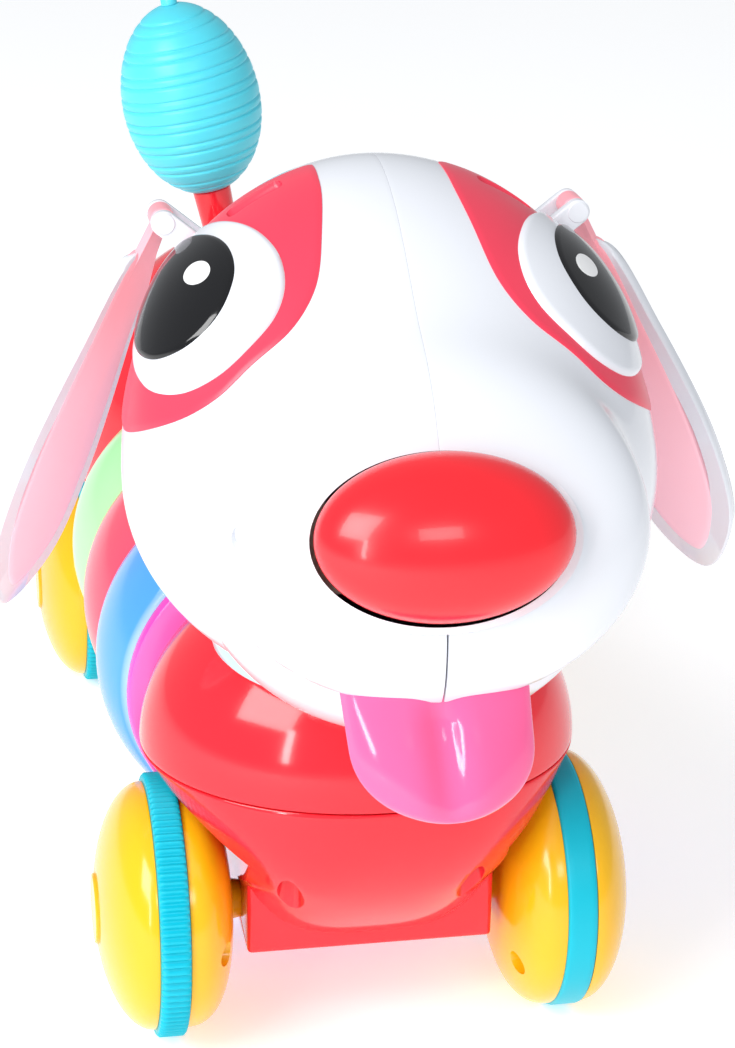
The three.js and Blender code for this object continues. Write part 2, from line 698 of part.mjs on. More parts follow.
// Lugs on the head that hold the ear's pin, in head coordinates.
function earLugs(side) {
  const reach = 3.6;
  const thickness = 2.2;
  const root = new THREE.Vector3(side * 30, EAR_HINGE.y, 200);
  const hinge = new THREE.Vector3(side * EAR_HINGE.x, EAR_HINGE.y, EAR_HINGE.z);
  const arm = hinge.clone().sub(root);
  const lugs = [-1, 1].map((end) => {
    const y = EAR_HINGE.y + end * (KNUCKLE.halfLength + GAP + thickness / 2) - thickness / 2;
    const strut = new THREE.BoxGeometry(2 * reach, thickness, arm.length());
    strut.rotateY(Math.atan2(arm.x, arm.z));
    strut.translate((root.x + hinge.x) / 2, y + thickness / 2, (root.z + hinge.z) / 2);
    return join(solid(strut), solid(bar(reach, thickness, "y", [hinge.x, y, hinge.z], 12)));
  });
  const hole = bar(HINGE_PIN_RADIUS + GAP, 40, "y", [hinge.x, EAR_HINGE.y - 20, hinge.z], 10);
  return cut(join(...lugs), solid(hole));
}

// The notch that an eye patch leaves round the ear's lugs.
function lugRoom(side) {
  const half = KNUCKLE.halfLength + 3.2;
  const reach = 36;
  return solid(boxBetween(
    [side * EAR_HINGE.x - reach, EAR_HINGE.y - half, EAR_HINGE.z - 24],
    [side * EAR_HINGE.x + reach, EAR_HINGE.y + half, EAR_HINGE.z + 14]));
}

const headOutside = solid(headSurface(0, ...HEAD_FACETS));
const headInside = solid(headSurface(-WALL, ...HOLLOW_FACETS));
const roundHead = solid(headSurface(GAP, ...HEAD_FACETS));

function chestTopRoom(extra) {
  return solid(ellipsoid(CHEST.centre, CHEST.semi.clone().addScalar(extra), ...BODY_FACETS));
}

function headHalf(side) {
  const otherSide = halfSpace(0, (side * GAP) / 2, -side);
  const lugs = cut(earLugs(side), headInside);
  return cut(join(headOutside, lugs).subtract(headInside), otherSide, noseSocket(), chestTopRoom(2),
    neckBore(NECK.radius));
}

for (const [name, side] of [["right", -1], ["left", 1]]) {
  addMesh(dog, "head_" + name + "_shell", headHalf(side), plastic(COLOURS.white));
}

// ---- Mouth and neck --------------------------------------------------------------------------
const TONGUE = { halfWidth: 21, top: 136, bottom: 101, front: -91, back: -85 };
const JAW = { centre: new THREE.Vector3(0, -45, 150), semi: new THREE.Vector3(49, 47, 43) };
const COLLAR = { radius: 40, low: 109.5, high: 118, rear: 15 };

function tongueBlank(extra) {
  const half = TONGUE.halfWidth + extra;
  const bottom = TONGUE.bottom - extra;
  const rise = [[1, TONGUE.top - bottom], [0.97, 20], [0.88, 11], [0.68, 4], [0.36, 0]];
  const mirrored = rise.map(([share, up]) => [-share, up]).reverse();
  const outline = [...rise, ...mirrored].map(([share, up]) => new THREE.Vector2(share * half, bottom + up));
  const shape = new THREE.Shape(outline);
  const depth = TONGUE.back - TONGUE.front + 2 * extra;
  const blade = new THREE.ExtrudeGeometry(shape, { depth, bevelEnabled: false });
  blade.rotateX(Math.PI / 2);
  blade.translate(0, TONGUE.back + extra, 0);
  const root = boxBetween([-14 - extra, TONGUE.back - 1, 122 - extra], [14 + extra, -62 + extra, 132]);
  return join(solid(blade), solid(root));
}

function tongue() {
  return cut(tongueBlank(0), roundHead);
}

function jawDish(inset) {
  return solid(ellipsoid(JAW.centre, JAW.semi.clone().subScalar(inset), ...HOLLOW_FACETS));
}

function lowerJaw() {
  const behindMouth = halfSpace(1, NECK.y - NECK.radius, 1);
  return cut(jawDish(0), roundHead, behindMouth, chestTopRoom(2), tongueBlank(GAP), collarRing(GAP));
}

// The ring that shows between head and chest, and the tube on it that passes up into the head.
function collarRing(extra) {
  const { radius, low, high, rear } = COLLAR;
  const inner = NECK.radius - 3;
  const outer = radius + extra;
  const outline = [[inner, low - extra], [outer - 1, low - extra], [outer, (low + high) / 2],
    [outer - 1, high + extra], [inner, high + extra]];
  const ring = turned(outline, 28);
  ring.rotateX(Math.PI / 2);
  ring.translate(0, NECK.y, 0);
  return cut(solid(ring), halfSpace(1, rear, 1));
}

function neckTube(extra) {
  const outer = NECK.radius - 1 + extra;
  const inner = NECK.radius - 3;
  const tube = turned([[inner, NECK.low], [outer, NECK.low], [outer, NECK.high], [inner, NECK.high]], 20);
  tube.rotateX(Math.PI / 2);
  tube.translate(0, NECK.y, 0);
  return solid(tube);
}

function collar() {
  return join(cut(collarRing(0), roundHead, chestTopRoom(GAP)), neckTube(0));
}

addMesh(dog, "lower_jaw", lowerJaw(), plastic(COLOURS.white));
addMesh(dog, "tongue", tongue(), plastic(COLOURS.tongue));
addMesh(dog, "collar", collar(), plastic(COLOURS.collar));

// ---- Nose ----------------------------------------------------------------------------------------
addMesh(dog, "nose_button", noseButton(), plastic(COLOURS.coral));
addMesh(dog, "nose_spring", noseSpring(), metal(COLOURS.steel));
addMesh(dog, "nose_bracket", noseBracket(), plastic(COLOURS.natural));
addMesh(dog, "nose_switch", noseSwitch(), plastic(COLOURS.dark));

// ---- Eyes ----------------------------------------------------------------------------------------
const PATCH_LOOP = [[41, 46], [21, 45], [2, 37], [-15, 25], [-22.5, 11], [-22.5, -3], [-21, -15], [-13, -26],
  [8, -37], [22, -34], [31, -20], [36, -3], [38, 13], [39, 30]];
const EYE_LOOP = [[9, 21], [-1, 21.5], [-10, 17.5], [-16, 10], [-18, 0], [-17, -10], [-11, -18.5], [0, -22.5],
  [14, -20], [25, -13], [30, -2], [29.5, 6], [26, 12], [18, 17.5]];
const PUPIL_LOOP = [[8, 13], [0, 10.5], [-5.5, 4], [-7, -3], [-5, -10], [1, -15.5], [10, -16.5], [19, -11.5],
  [25.5, -3], [25, 5], [17, 11]];

for (const [name, side] of [["right", -1], ["left", 1]]) {
  const patch = headPlate(side, PATCH_LOOP, [4, 2], 1, 1.6, 0, 4, 20);
  const white = headPlate(side, EYE_LOOP, [5, 0], 2.1, 2.9, 0.5, 3, 18);
  const pupil = headPlate(side, PUPIL_LOOP, [9, -2], 3.7, 4.3, 0.6, 2, 16);
  addMesh(dog, name + "_eye_patch", cut(solid(patch), lugRoom(side)), plastic(COLOURS.coral));
  addMesh(dog, name + "_eye_white", white, plastic(COLOURS.white));
  addMesh(dog, name + "_pupil", pupil, plastic(COLOURS.black));
}

// ---- Ears ----------------------------------------------------------------------------------------
for (const [name, side] of [["right", -1], ["left", 1]]) {
  const ear = addGroup(dog, new THREE.Vector3(side * EAR_HINGE.x, EAR_HINGE.y, EAR_HINGE.z));
  ear.scale.x = side;
  addMesh(ear, name + "_ear_shell", earShell(), plastic(COLOURS.white));
  addMesh(ear, name + "_ear_pad", earPad(), plastic(COLOURS.earPink));
  const half = KNUCKLE.halfLength + 2.5;
  const pin = bar(HINGE_PIN_RADIUS, 2 * half, "y", [0, -half, 0], 10);
  addMesh(ear, name + "_ear_pin", pin, metal(COLOURS.steel));
}

// ---- Tail ----------------------------------------------------------------------------------------
const tail = addGroup(dog, TAIL_HINGE);

function tailLean(geometry) {
  geometry.rotateY(THREE.MathUtils.degToRad(-TAIL.lean));
  return solid(geometry);
}

function tailStalk() {
  const foot = solid(bar(6, 12, "y", [0, -6, 0], 16));
  const length = TAIL.stalkLength;
  const stalk = turned([[0, 0], [5.2, 0], [6.2, length], [3, length], [3, length + 14], [0, length + 14]], 16);
  stalk.rotateX(Math.PI / 2);
  const hole = bar(TAIL_PIN.radius + GAP, 20, "y", [0, -10, 0], 10);
  return cut(join(foot, tailLean(stalk)), solid(hole));
}

// The egg on the tail, with raised bands between pairs of grooves and a small nub on top.
function tailBall() {
  const half = TAIL.ballHeight / 2;
  const bottom = TAIL.stalkLength + GAP;
  const socket = 3 + GAP;
  const low = -Math.sqrt(1 - ((socket + 4) / TAIL.ballRadius) ** 2);
  const outside = Array.from({ length: 8 }, (_, i) => {
    const t = Math.sin(Math.asin(low) + ((1.4 - Math.asin(low)) * i) / 7);
    return [TAIL.ballRadius * Math.sqrt(1 - t * t), bottom - low * half + t * half];
  });
  const top = bottom - low * half + half;
  const nub = [[2.5, top], [2.5, top + 2.5], [0, top + 3]];
  const egg = turned([[socket, bottom], ...outside, ...nub, [0, bottom + 15], [socket, bottom + 15]], 16);
  egg.rotateX(Math.PI / 2);
  return tailLean(egg);
}

addMesh(tail, "tail_stalk", tailStalk(), plastic(COLOURS.coral));
addMesh(tail, "tail_ball", tailBall(), plastic(COLOURS.ballBlue));
const tailPin = bar(TAIL_PIN.radius, 2 * TAIL_PIN.halfLength, "y", [0, -TAIL_PIN.halfLength, 0], 10);
addMesh(tail, "tail_pin", tailPin, metal(COLOURS.steel));

// ---- Drive in the rump: motor pinion, compound gear and axle gear ------------------------------------
const gearDistance = (GEAR_MODULE * (LARGE_TEETH + SMALL_TEETH)) / 2;
const STUB = { radius: 1.5, from: 4.3, to: 24.7 };
const MOTOR = { radius: 10, from: -22, to: 3.7, shaft: 1 };
const FRAME = { plates: [4, 23], thickness: 2, front: 209, rear: 241, bottom: 26, top: 72 };

function alongLine(start, degrees) {
  const angle = THREE.MathUtils.degToRad(degrees);
  return { y: start.y + gearDistance * Math.cos(angle), z: start.z + gearDistance * Math.sin(angle) };
}

const axleCentre = { y: WHEELBASE, z: AXLE_HEIGHT };
const compoundCentre = alongLine(axleCentre, GEAR_LINE_ANGLE);
const motorCentre = alongLine(compoundCentre, 180 - GEAR_LINE_ANGLE);

// A gear about an axis along X. One of its teeth points at the given angle above +Y.
function gear(teeth, from, to, centre, toothAngle, bore = 0) {
  const pitchRadius = (GEAR_MODULE * teeth) / 2;
  const tip = pitchRadius + 0.8 * GEAR_MODULE;
  const root = pitchRadius - 1.1 * GEAR_MODULE;
  const tooth = [[-0.29, root], [-0.12, tip], [0.12, tip], [0.29, root]];
  const start = THREE.MathUtils.degToRad(toothAngle);
  const points = Array.from({ length: teeth }, (_, i) => tooth.map(([share, radius]) => {
    const angle = start + ((i + share) * 2 * Math.PI) / teeth;
    return new THREE.Vector2(radius * Math.cos(angle), radius * Math.sin(angle));
  })).flat();
  const shape = new THREE.Shape(points);
  if (bore > 0) shape.holes.push(new THREE.Path().absarc(0, 0, bore, 0, 2 * Math.PI, true));
  const wheel = new THREE.ExtrudeGeometry(shape, { depth: to - from, curveSegments: 6, bevelEnabled: false });
  wheel.applyMatrix4(new THREE.Matrix4().makeBasis(
    new THREE.Vector3(0, 1, 0), new THREE.Vector3(0, 0, 1), new THREE.Vector3(1, 0, 0)));
  wheel.translate(from, centre.y, centre.z);
  return solid(wheel);
}

function axleGear() {
  return gear(LARGE_TEETH, 10, 14, axleCentre, GEAR_LINE_ANGLE, AXLE_RADIUS + GAP);
}

// One moulding: a small and a large gear between two stub shafts.
function compoundGear() {
  const halfTooth = 180 / SMALL_TEETH;
  const small = gear(SMALL_TEETH, 9, 15, compoundCentre, GEAR_LINE_ANGLE + 180 + halfTooth);
  const large = gear(LARGE_TEETH, 14.8, 19, compoundCentre, 180 - GEAR_LINE_ANGLE);
  const { y, z } = compoundCentre;
  const stub = bar(STUB.radius, STUB.to - STUB.from, "x", [STUB.from, y, z], 10);
  return join(small, large, solid(stub));
}

function motorPinion() {
  const halfTooth = 180 / SMALL_TEETH;
  const pinion = gear(SMALL_TEETH, 15, 20, motorCentre, -GEAR_LINE_ANGLE + halfTooth);
  const shaftStart = MOTOR.to + GAP;
  const shaft = bar(MOTOR.shaft, 21 - shaftStart, "x", [shaftStart, motorCentre.y, motorCentre.z], 10);
  return join(pinion, solid(shaft));
}

function gearboxFrame() {
  const plates = FRAME.plates.map((x) =>
    solid(boxBetween([x, FRAME.front, FRAME.bottom], [x + FRAME.thickness, FRAME.rear, FRAME.top])));
  const last = FRAME.plates[1] + FRAME.thickness;
  const first = FRAME.plates[0];
  const bridge = boxBetween([first, FRAME.rear - 3, FRAME.bottom + 4], [last, FRAME.rear, FRAME.top]);
  const holes = [[AXLE_RADIUS, axleCentre], [STUB.radius, compoundCentre], [MOTOR.shaft, motorCentre]];
  const tools = holes.map(([radius, { y, z }]) => solid(bar(radius + GAP, 30, "x", [0, y, z], 10)));
  return cut(join(...plates, solid(bridge)), ...tools);
}

addMesh(dog, "axle_gear", axleGear(), plastic(COLOURS.natural));
addMesh(dog, "compound_gear", compoundGear(), plastic(COLOURS.natural));
addMesh(dog, "motor_pinion", motorPinion(), metal(COLOURS.steel));
addMesh(dog, "gearbox_frame", gearboxFrame(), plastic(COLOURS.dark));
const motorStart = [MOTOR.from, motorCentre.y, motorCentre.z];
addMesh(dog, "motor", bar(MOTOR.radius, MOTOR.to - MOTOR.from, "x", motorStart, 18), metal(COLOURS.steel));

// ---- Power and sound -----------------------------------------------------------------------------
const CELL = { radius: 7.1, halfLength: 25.2, height: 26, places: [179, 194.5] };
const BOX = { halfWidth: 27.6, front: 170, rear: 206, bottom: 17.6, top: 35, wall: 1.4 };

function batteryBox() {
  const { halfWidth, front, rear, bottom, top, wall } = BOX;
  const outside = boxBetween([-halfWidth, front, bottom], [halfWidth, rear, top]);
  const half = halfWidth - wall;
  const inside = boxBetween([-half, front + wall, bottom - 1], [half, rear - wall, top - wall]);
  return cut(solid(outside), solid(inside));
}

// The door fills its hole with a gap all round and reaches under the bar that its screw goes into.
function batteryDoor() {
  const edge = 0.4;
  const panel = boxBetween(
    [edge - DOOR.halfWidth, DOOR.front + edge, BELLY.bottom],
    [DOOR.halfWidth - edge, DOOR.rear - edge, BELLY.bottom + WALL]);
  const shaftHole = bar(DOOR_SCREW.shaft + GAP, 10, "z", [0, DOOR_SCREW.y, 10], 10);
  const headHole = bar(DOOR_SCREW.head + GAP, 10, "z", [0, DOOR_SCREW.y, BELLY.bottom + 1.4 - 10], 12);
  return cut(solid(panel), solid(shaftHole), solid(headHole));
}

function doorScrew() {
  const head = bar(DOOR_SCREW.head, 1, "z", [0, DOOR_SCREW.y, BELLY.bottom + 0.1], 12);
  const shaft = bar(DOOR_SCREW.shaft, 8, "z", [0, DOOR_SCREW.y, BELLY.bottom + 0.6], 8);
  return join(solid(head), solid(shaft));
}

// A slider behind the slot, with a finger nub that stands out through it. It rests at "off", to the right.
function switchKnob() {
  const middle = (SWITCH_SLOT.front + SWITCH_SLOT.rear) / 2;
  const inside = BELLY.bottom + WALL + GAP;
  const slider = boxBetween([-14, middle - 5.5, inside], [8, middle + 5.5, inside + 1.6]);
  const nub = boxBetween([-7.6, middle - 2.8, BELLY.bottom - 1], [0.4, middle + 2.8, inside + 0.5]);
  return join(solid(slider), solid(nub));
}

function speaker() {
  const floor = CHEST_FOOT.bottom + WALL + GAP;
  const cone = bar(12.5, 3, "z", [0, 19, floor], 18);
  const magnet = bar(6.5, 5, "z", [0, 19, floor + 2.5], 12);
  return join(solid(cone), solid(magnet));
}

function circuitBoard() {
  const board = boxBetween([-26, 12, 44], [26, 13.6, 86]);
  const chips = [[-14, 60, 6], [6, 70, 5], [14, 54, 4]].map(([x, z, half]) =>
    solid(boxBetween([x - half, 10.4, z - half], [x + half, 12.2, z + half])));
  return join(solid(board), ...chips);
}

CELL.places.forEach((y, i) => {
  const cell = bar(CELL.radius, 2 * CELL.halfLength, "x", [-CELL.halfLength, y, CELL.height], 14);
  addMesh(dog, "battery_cell_" + (i + 1), cell, metal(COLOURS.cell));
});
addMesh(dog, "battery_box", batteryBox(), plastic(COLOURS.dark));
addMesh(dog, "battery_door", batteryDoor(), plastic(COLOURS.coral));
addMesh(dog, "door_screw", doorScrew(), metal(COLOURS.steel));
addMesh(dog, "switch_knob", switchKnob(), plastic(COLOURS.dark));
addMesh(dog, "speaker", speaker(), plastic(COLOURS.dark));
addMesh(dog, "circuit_board", circuitBoard(), plastic(COLOURS.board));

export default dog;
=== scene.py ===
"""Looks of a wheeled robot dog toy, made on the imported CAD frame. Shapes are worked out in millimetres,
with y counted from the front axle, and placed in the frame in metres."""
import json
import math

import bmesh
import bpy
import numpy as np
from mathutils import Matrix, Vector


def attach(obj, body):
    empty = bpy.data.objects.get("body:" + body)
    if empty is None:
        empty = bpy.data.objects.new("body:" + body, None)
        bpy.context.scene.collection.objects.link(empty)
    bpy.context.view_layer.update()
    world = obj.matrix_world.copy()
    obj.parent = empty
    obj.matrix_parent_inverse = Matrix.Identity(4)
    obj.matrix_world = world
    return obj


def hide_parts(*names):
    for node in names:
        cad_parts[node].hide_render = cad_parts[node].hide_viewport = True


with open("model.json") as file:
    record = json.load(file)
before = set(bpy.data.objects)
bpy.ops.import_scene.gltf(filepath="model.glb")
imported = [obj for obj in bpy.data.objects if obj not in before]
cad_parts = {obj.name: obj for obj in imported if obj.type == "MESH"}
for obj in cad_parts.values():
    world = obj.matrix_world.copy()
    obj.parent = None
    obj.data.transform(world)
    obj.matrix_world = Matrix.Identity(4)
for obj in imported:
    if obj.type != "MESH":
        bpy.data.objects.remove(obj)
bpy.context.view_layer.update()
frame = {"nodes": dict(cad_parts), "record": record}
NODES = frame["nodes"]
JOINTS = {joint["name"]: joint for joint in frame["record"]["behaviour"]["joints"]}
FRONT_AXLE = Vector(JOINTS["front_wheels_roll"]["pos_m"])
MM = 0.001

# ---- Dimensions, in mm -----------------------------------------------------------------------------
AXLE_HEIGHT = FRONT_AXLE.z / MM
WHEELBASE = (JOINTS["rear_wheels_roll"]["pos_m"][1] - FRONT_AXLE.y) / MM
GAP, WALL = 0.3, 2.2
HALF_TRACK = 52.0
TYRE_HALF, HUB_RADIUS = 3.6, 28.5
DOME_RADIUS = {-1: 32.1, 1: 33.6}  # right wheels, left wheels
OUTER_BULGE, INNER_BULGE = 14.0, 13.5
WHEEL_ROOM, WHEEL_ROOM_FROM = 36.6, 33.2
RIBS, RIB_DEPTH = 100, 1.0
SEAM = 77.0
HEAD_CENTRE = np.array([0.0, -30.0, 172.0])
SKULL = dict(centre=(0, -29.5, 162.8), semi=(63.3, 46, 77.2), below=53.7, lean=-35)
MUZZLE = dict(centre=(0, -77, 162.6), semi=(42.2, 31.4, 12.5), below=12.5, lean=67)
HEAD_BLEND = 0.3
CHEST_CENTRE, CHEST_SEMI, CHEST_REAR = (0.0, 8.0, SEAM), (56.5, 48.0, 47.0), 35.0
FOOT = dict(half=32.0, front=-17.0, bottom=27.0)
RING_HEIGHT, RING_HALF_WIDTH, RING_HALF_HEIGHT = 76.0, 63.0, 53.0
RING_PITCH, RINGS_FRONT, CORE_RADIUS = 41.5, 41.4, 42.0
RUMP_CENTRE, RUMP_SEMI, RUMP_FRONT = (0.0, 207.0, 90.0), (56.0, 51.0, 68.0), 165.9
BELLY = dict(half=31.0, rear=246.0, bottom=15.0, top=60.0)
NOSE = dict(centre=(0, -89.7, 169.3), semi=(28.5, 13.78, 18.5), tilt=-27.6, back=7.0)
EAR_HINGE = np.array([50.0, 5.0, 216.0])
EAR = dict(length=104.0, width=29.0, thickness=6.5, forward=4.0, flare=-21.0, turn=42.0, margin=3.0)
KNUCKLE_RADIUS, KNUCKLE_HALF = 3.0, 3.5
TAIL_HINGE = np.array([-5.0, 226.0, 144.0])
TAIL = dict(lean=-12.5, stalk=24.0, height=62.0, radius=22.0)
NECK_Y, NECK_RADIUS = -8.0, 24.0


# ---- Mesh helpers ----------------------------------------------------------------------------------
def build(name, *shells):
    """A mesh object from closed shells, each (points in mm, faces)."""
    points, faces = [], []
    for shell_points, shell_faces in shells:
        start = len(points)
        points.extend(np.asarray(shell_points, float).tolist())
        faces.extend(tuple(start + i for i in face) for face in shell_faces)
    placed = [(x * MM, y * MM + FRONT_AXLE.y, z * MM) for x, y, z in points]
    mesh = bpy.data.meshes.new(name)
    mesh.from_pydata(placed, [], faces)
    edit = bmesh.new()
    edit.from_mesh(mesh)
    bmesh.ops.remove_doubles(edit, verts=edit.verts, dist=0.002 * MM)
    bmesh.ops.dissolve_degenerate(edit, edges=edit.edges, dist=0.001 * MM)
    bmesh.ops.recalc_face_normals(edit, faces=edit.faces)
    edit.to_mesh(mesh)
    edit.free()
    thing = bpy.data.objects.new(name, mesh)
    bpy.context.scene.collection.objects.link(thing)
    return thing


def apply_modifiers(thing):
    depsgraph = bpy.context.evaluated_depsgraph_get()
    mesh = bpy.data.meshes.new_from_object(thing.evaluated_get(depsgraph))
    thing.modifiers.clear()
    thing.data = mesh


def combine(thing, operation, *tools):
    """Cuts, joins or meets a piece with other solids, which are then removed."""
    for tool in tools:
        modifier = thing.modifiers.new("combine", "BOOLEAN")
        modifier.operation = operation
        modifier.solver = "MANIFOLD"
        modifier.object = tool
    apply_modifiers(thing)
    for tool in tools:
        bpy.data.objects.remove(tool)
    return thing


def cut(thing, *tools):
    return combine(thing, "DIFFERENCE", *tools)


def soften(thing, width, segments=2, angle=40):
    """Rounds the sharp edges of a piece."""
    modifier = thing.modifiers.new("soften", "BEVEL")
    modifier.width = width * MM
    modifier.segments = segments
    modifier.limit_method = "ANGLE"
    modifier.angle_limit = math.radians(angle)
    modifier.miter_outer = "MITER_ARC"
    apply_modifiers(thing)
    return thing


def show(thing, material, body, *replaced, angle=35):
    """Finishes a piece: smooth shading, material, body, and the CAD nodes that it stands for."""
    thing.data.polygons.foreach_set("use_smooth", [True] * len(thing.data.polygons))
    thing.data.set_sharp_from_angle(angle=math.radians(angle))
    thing.data.materials.clear()
    thing.data.materials.append(material)
    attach(thing, body)
    if replaced:
        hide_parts(*replaced)


def grid(rows):
    """Faces round a stack of closed rows that all have the same number of points."""
    count = len(rows[0])
    points = np.concatenate(rows)
    faces = []
    for row in range(len(rows) - 1):
        for i in range(count):
            j = (i + 1) % count
            faces.append((row * count + i, row * count + j, (row + 1) * count + j, (row + 1) * count + i))
    return points, faces


def ring_of(rows):
    """A grid whose last row joins its first, as a closed outline turned round an axis does."""
    return grid([*rows, rows[0]])


def turned(outline, columns=96, closed=True, axis="z", wave=None):
    """An outline of (radius, height) turned round an axis. One that isn't closed starts and ends on the
    axis. Where a point has a third number, wave(angles) times it is added to the radius."""
    angles = np.linspace(0, 2 * math.pi, columns, endpoint=False)
    rows = []
    for radius, height, *amount in outline:
        reach = radius + (wave(angles) * amount[0] if amount and wave else 0 * angles)
        a, b, c = reach * np.cos(angles), reach * np.sin(angles), np.full(columns, height)
        rows.append(np.stack({"z": (a, b, c), "x": (c, a, b), "y": (a, c, b)}[axis], axis=1))
    return ring_of(rows) if closed else grid(rows)


def moved(shell, offset=(0, 0, 0), turn=None, scale=(1, 1, 1)):
    points = np.asarray(shell[0], float) * np.asarray(scale, float)
    if turn is not None:
        points = points @ np.array(turn).T
    return points + np.asarray(offset, float), shell[1]


def rotation(degrees, axis):
    return np.array(Matrix.Rotation(math.radians(degrees), 3, axis))


def block(low, high, radius=0.0, segments=3):
    """A box, with rounded edges if it has a radius."""
    edit = bmesh.new()
    bmesh.ops.create_cube(edit, size=1)
    low, high = np.asarray(low, float), np.asarray(high, float)
    for vertex in edit.verts:
        vertex.co = Vector((low + high) / 2 + np.array(vertex.co) * (high - low))
    if radius > 0:
        bmesh.ops.bevel(edit, geom=edit.edges[:], offset=radius, segments=segments, profile=0.5,
                        affect="EDGES")
    points = [tuple(vertex.co) for vertex in edit.verts]
    faces = [tuple(vertex.index for vertex in face.verts) for face in edit.faces]
    edit.free()
    return points, faces


def rod(radius, length, axis, start, columns=48, edge=0.0):
    """A round bar from start along an axis, with its ends chamfered by edge."""
    outline = [(0, 0), (radius - edge, 0), (radius, edge),
               (radius, length - edge), (radius - edge, length), (0, length)]
    return moved(turned(outline, columns, closed=False, axis=axis), start)


def egg_shell(centre, semi, columns=128, rows=64):
    outline = [(math.sin(tilt), math.cos(tilt)) for tilt in np.linspace(0, math.pi, rows + 1)]
    return moved(turned(outline, columns, closed=False), centre, scale=semi)


def arc(radius, height, steps, start=0.0, fullness=2.0):
    """Points of a quarter ellipse, or of a fuller curve, from the radius start to the rim (radius, 0)."""
    power = 2 / fullness
    first = math.asin((start / radius) ** (1 / power))
    angles = np.linspace(first, math.pi / 2, steps + 1)
    return [(radius * math.sin(a) ** power, height * max(math.cos(a), 0) ** power) for a in angles]


def smooth_loop(points, steps):
    """Points along a closed centripetal Catmull-Rom curve."""
    points = np.asarray(points, float)
    result = []
    for step in range(steps):
        place = step / steps * len(points)
        first = int(place)
        t = place - first
        p0, p1, p2, p3 = (points[(first + k) % len(points)] for k in (-1, 0, 1, 2))
        d0, d1, d2 = (math.sqrt(np.linalg.norm(b - a)) for a, b in ((p0, p1), (p1, p2), (p2, p3)))
        m1 = d1 * ((p1 - p0) / d0 - (p2 - p0) / (d0 + d1) + (p2 - p1) / d1)
        m2 = d1 * ((p2 - p1) / d1 - (p3 - p1) / (d1 + d2) + (p3 - p2) / d2)
        square = 3 * p2 - 3 * p1 - 2 * m1 - m2
        cube = 2 * p1 - 2 * p2 + m1 + m2
        result.append(p1 + m1 * t + square * t**2 + cube * t**3)
    return np.array(result)


# ---- Materials ---------------------------------------------------------------------------------------
def plastic(name, colour, roughness=0.2, coat=0.0, variation=0.04, grain=0.004, size=1.2, subsurface=0.0,
            lit_edge_colour=None, low_colour=None, metallic=0.0, glow=0.0, specular=0.5):
    """A slightly uneven colour and gloss, with a fine skin: grain is its depth and size its scale, in mm."""
    material = bpy.data.materials.new(name)
    material.use_nodes = True
    tree = material.node_tree
    shader = tree.nodes["Principled BSDF"]
    shader.inputs["Coat Weight"].default_value = coat
    shader.inputs["Coat Roughness"].default_value = 0.04
    shader.inputs["Metallic"].default_value = metallic
    shader.inputs["Specular IOR Level"].default_value = specular
    shader.inputs["Emission Color"].default_value = (1, 1, 1, 1)
    shader.inputs["Emission Strength"].default_value = glow
    shader.inputs["Subsurface Weight"].default_value = subsurface
    shader.inputs["Subsurface Radius"].default_value = (1.0, 0.6, 0.6)
    shader.inputs["Subsurface Scale"].default_value = 2.5 * MM
    place = tree.nodes.new("ShaderNodeTexCoord")
    cloud = noise(tree, place, 1 / (18 * MM), 3)
    mix = tree.nodes.new("ShaderNodeMix")
    mix.data_type = "RGBA"
    tree.links.new(cloud.outputs["Fac"], mix.inputs["Factor"])
    mix.inputs["A"].default_value = (*[min(1, c * (1 + variation)) for c in colour], 1)
    mix.inputs["B"].default_value = (*[c * (1 - variation) for c in colour], 1)
    result = mix.outputs["Result"]
    # A lit edge colour is painted light: a paler colour on the faces that look along the body.
    if lit_edge_colour:
        result = paint_edge_light(tree, result, lit_edge_colour)
    if low_colour:
        result = fade_down(tree, place, result, low_colour)
    tree.links.new(result, shader.inputs["Base Color"])
    haze = tree.nodes.new("ShaderNodeMapRange")
    haze.inputs["To Min"].default_value = roughness * 0.8
    haze.inputs["To Max"].default_value = roughness * 1.25
    tree.links.new(noise(tree, place, 1 / (6 * MM), 4).outputs["Fac"], haze.inputs["Value"])
    tree.links.new(haze.outputs["Result"], shader.inputs["Roughness"])
    bump = tree.nodes.new("ShaderNodeBump")
    bump.inputs["Strength"].default_value = 1
    bump.inputs["Distance"].default_value = grain * MM
    tree.links.new(noise(tree, place, 1 / (size * MM), 2).outputs["Fac"], bump.inputs["Height"])
    tree.links.new(bump.outputs["Normal"], shader.inputs["Normal"])
    return material


def noise(tree, place, scale, detail):
    node = tree.nodes.new("ShaderNodeTexNoise")
    node.inputs["Scale"].default_value = scale
    node.inputs["Detail"].default_value = detail
    tree.links.new(place.outputs["Object"], node.inputs["Vector"])
    return node


def part_of(tree, vector, axis):
    split = tree.nodes.new("ShaderNodeSeparateXYZ")
    tree.links.new(vector, split.inputs["Vector"])
    return split.outputs[axis]


def blend(tree, value, start, end, colour, other_colour):
    """Turns a colour into another one as a value goes from start to end."""
    ramp = tree.nodes.new("ShaderNodeMapRange")
    ramp.inputs["From Min"].default_value = start
    ramp.inputs["From Max"].default_value = end
    tree.links.new(value, ramp.inputs["Value"])
    mix = tree.nodes.new("ShaderNodeMix")
    mix.data_type = "RGBA"
    tree.links.new(ramp.outputs["Result"], mix.inputs["Factor"])
    tree.links.new(colour, mix.inputs["A"])
    mix.inputs["B"].default_value = (*other_colour, 1)
    return mix.outputs["Result"]


def paint_edge_light(tree, colour, lit_edge_colour):
    """Paints light on the faces that look along the body, where a ring's thin clear edge catches the light.
    """
    geometry = tree.nodes.new("ShaderNodeNewGeometry")
    size = tree.nodes.new("ShaderNodeMath")
    size.operation = "ABSOLUTE"
    tree.links.new(part_of(tree, geometry.outputs["Normal"], "Y"), size.inputs[0])
    return blend(tree, size.outputs["Value"], 0.7, 0.98, colour, lit_edge_colour)


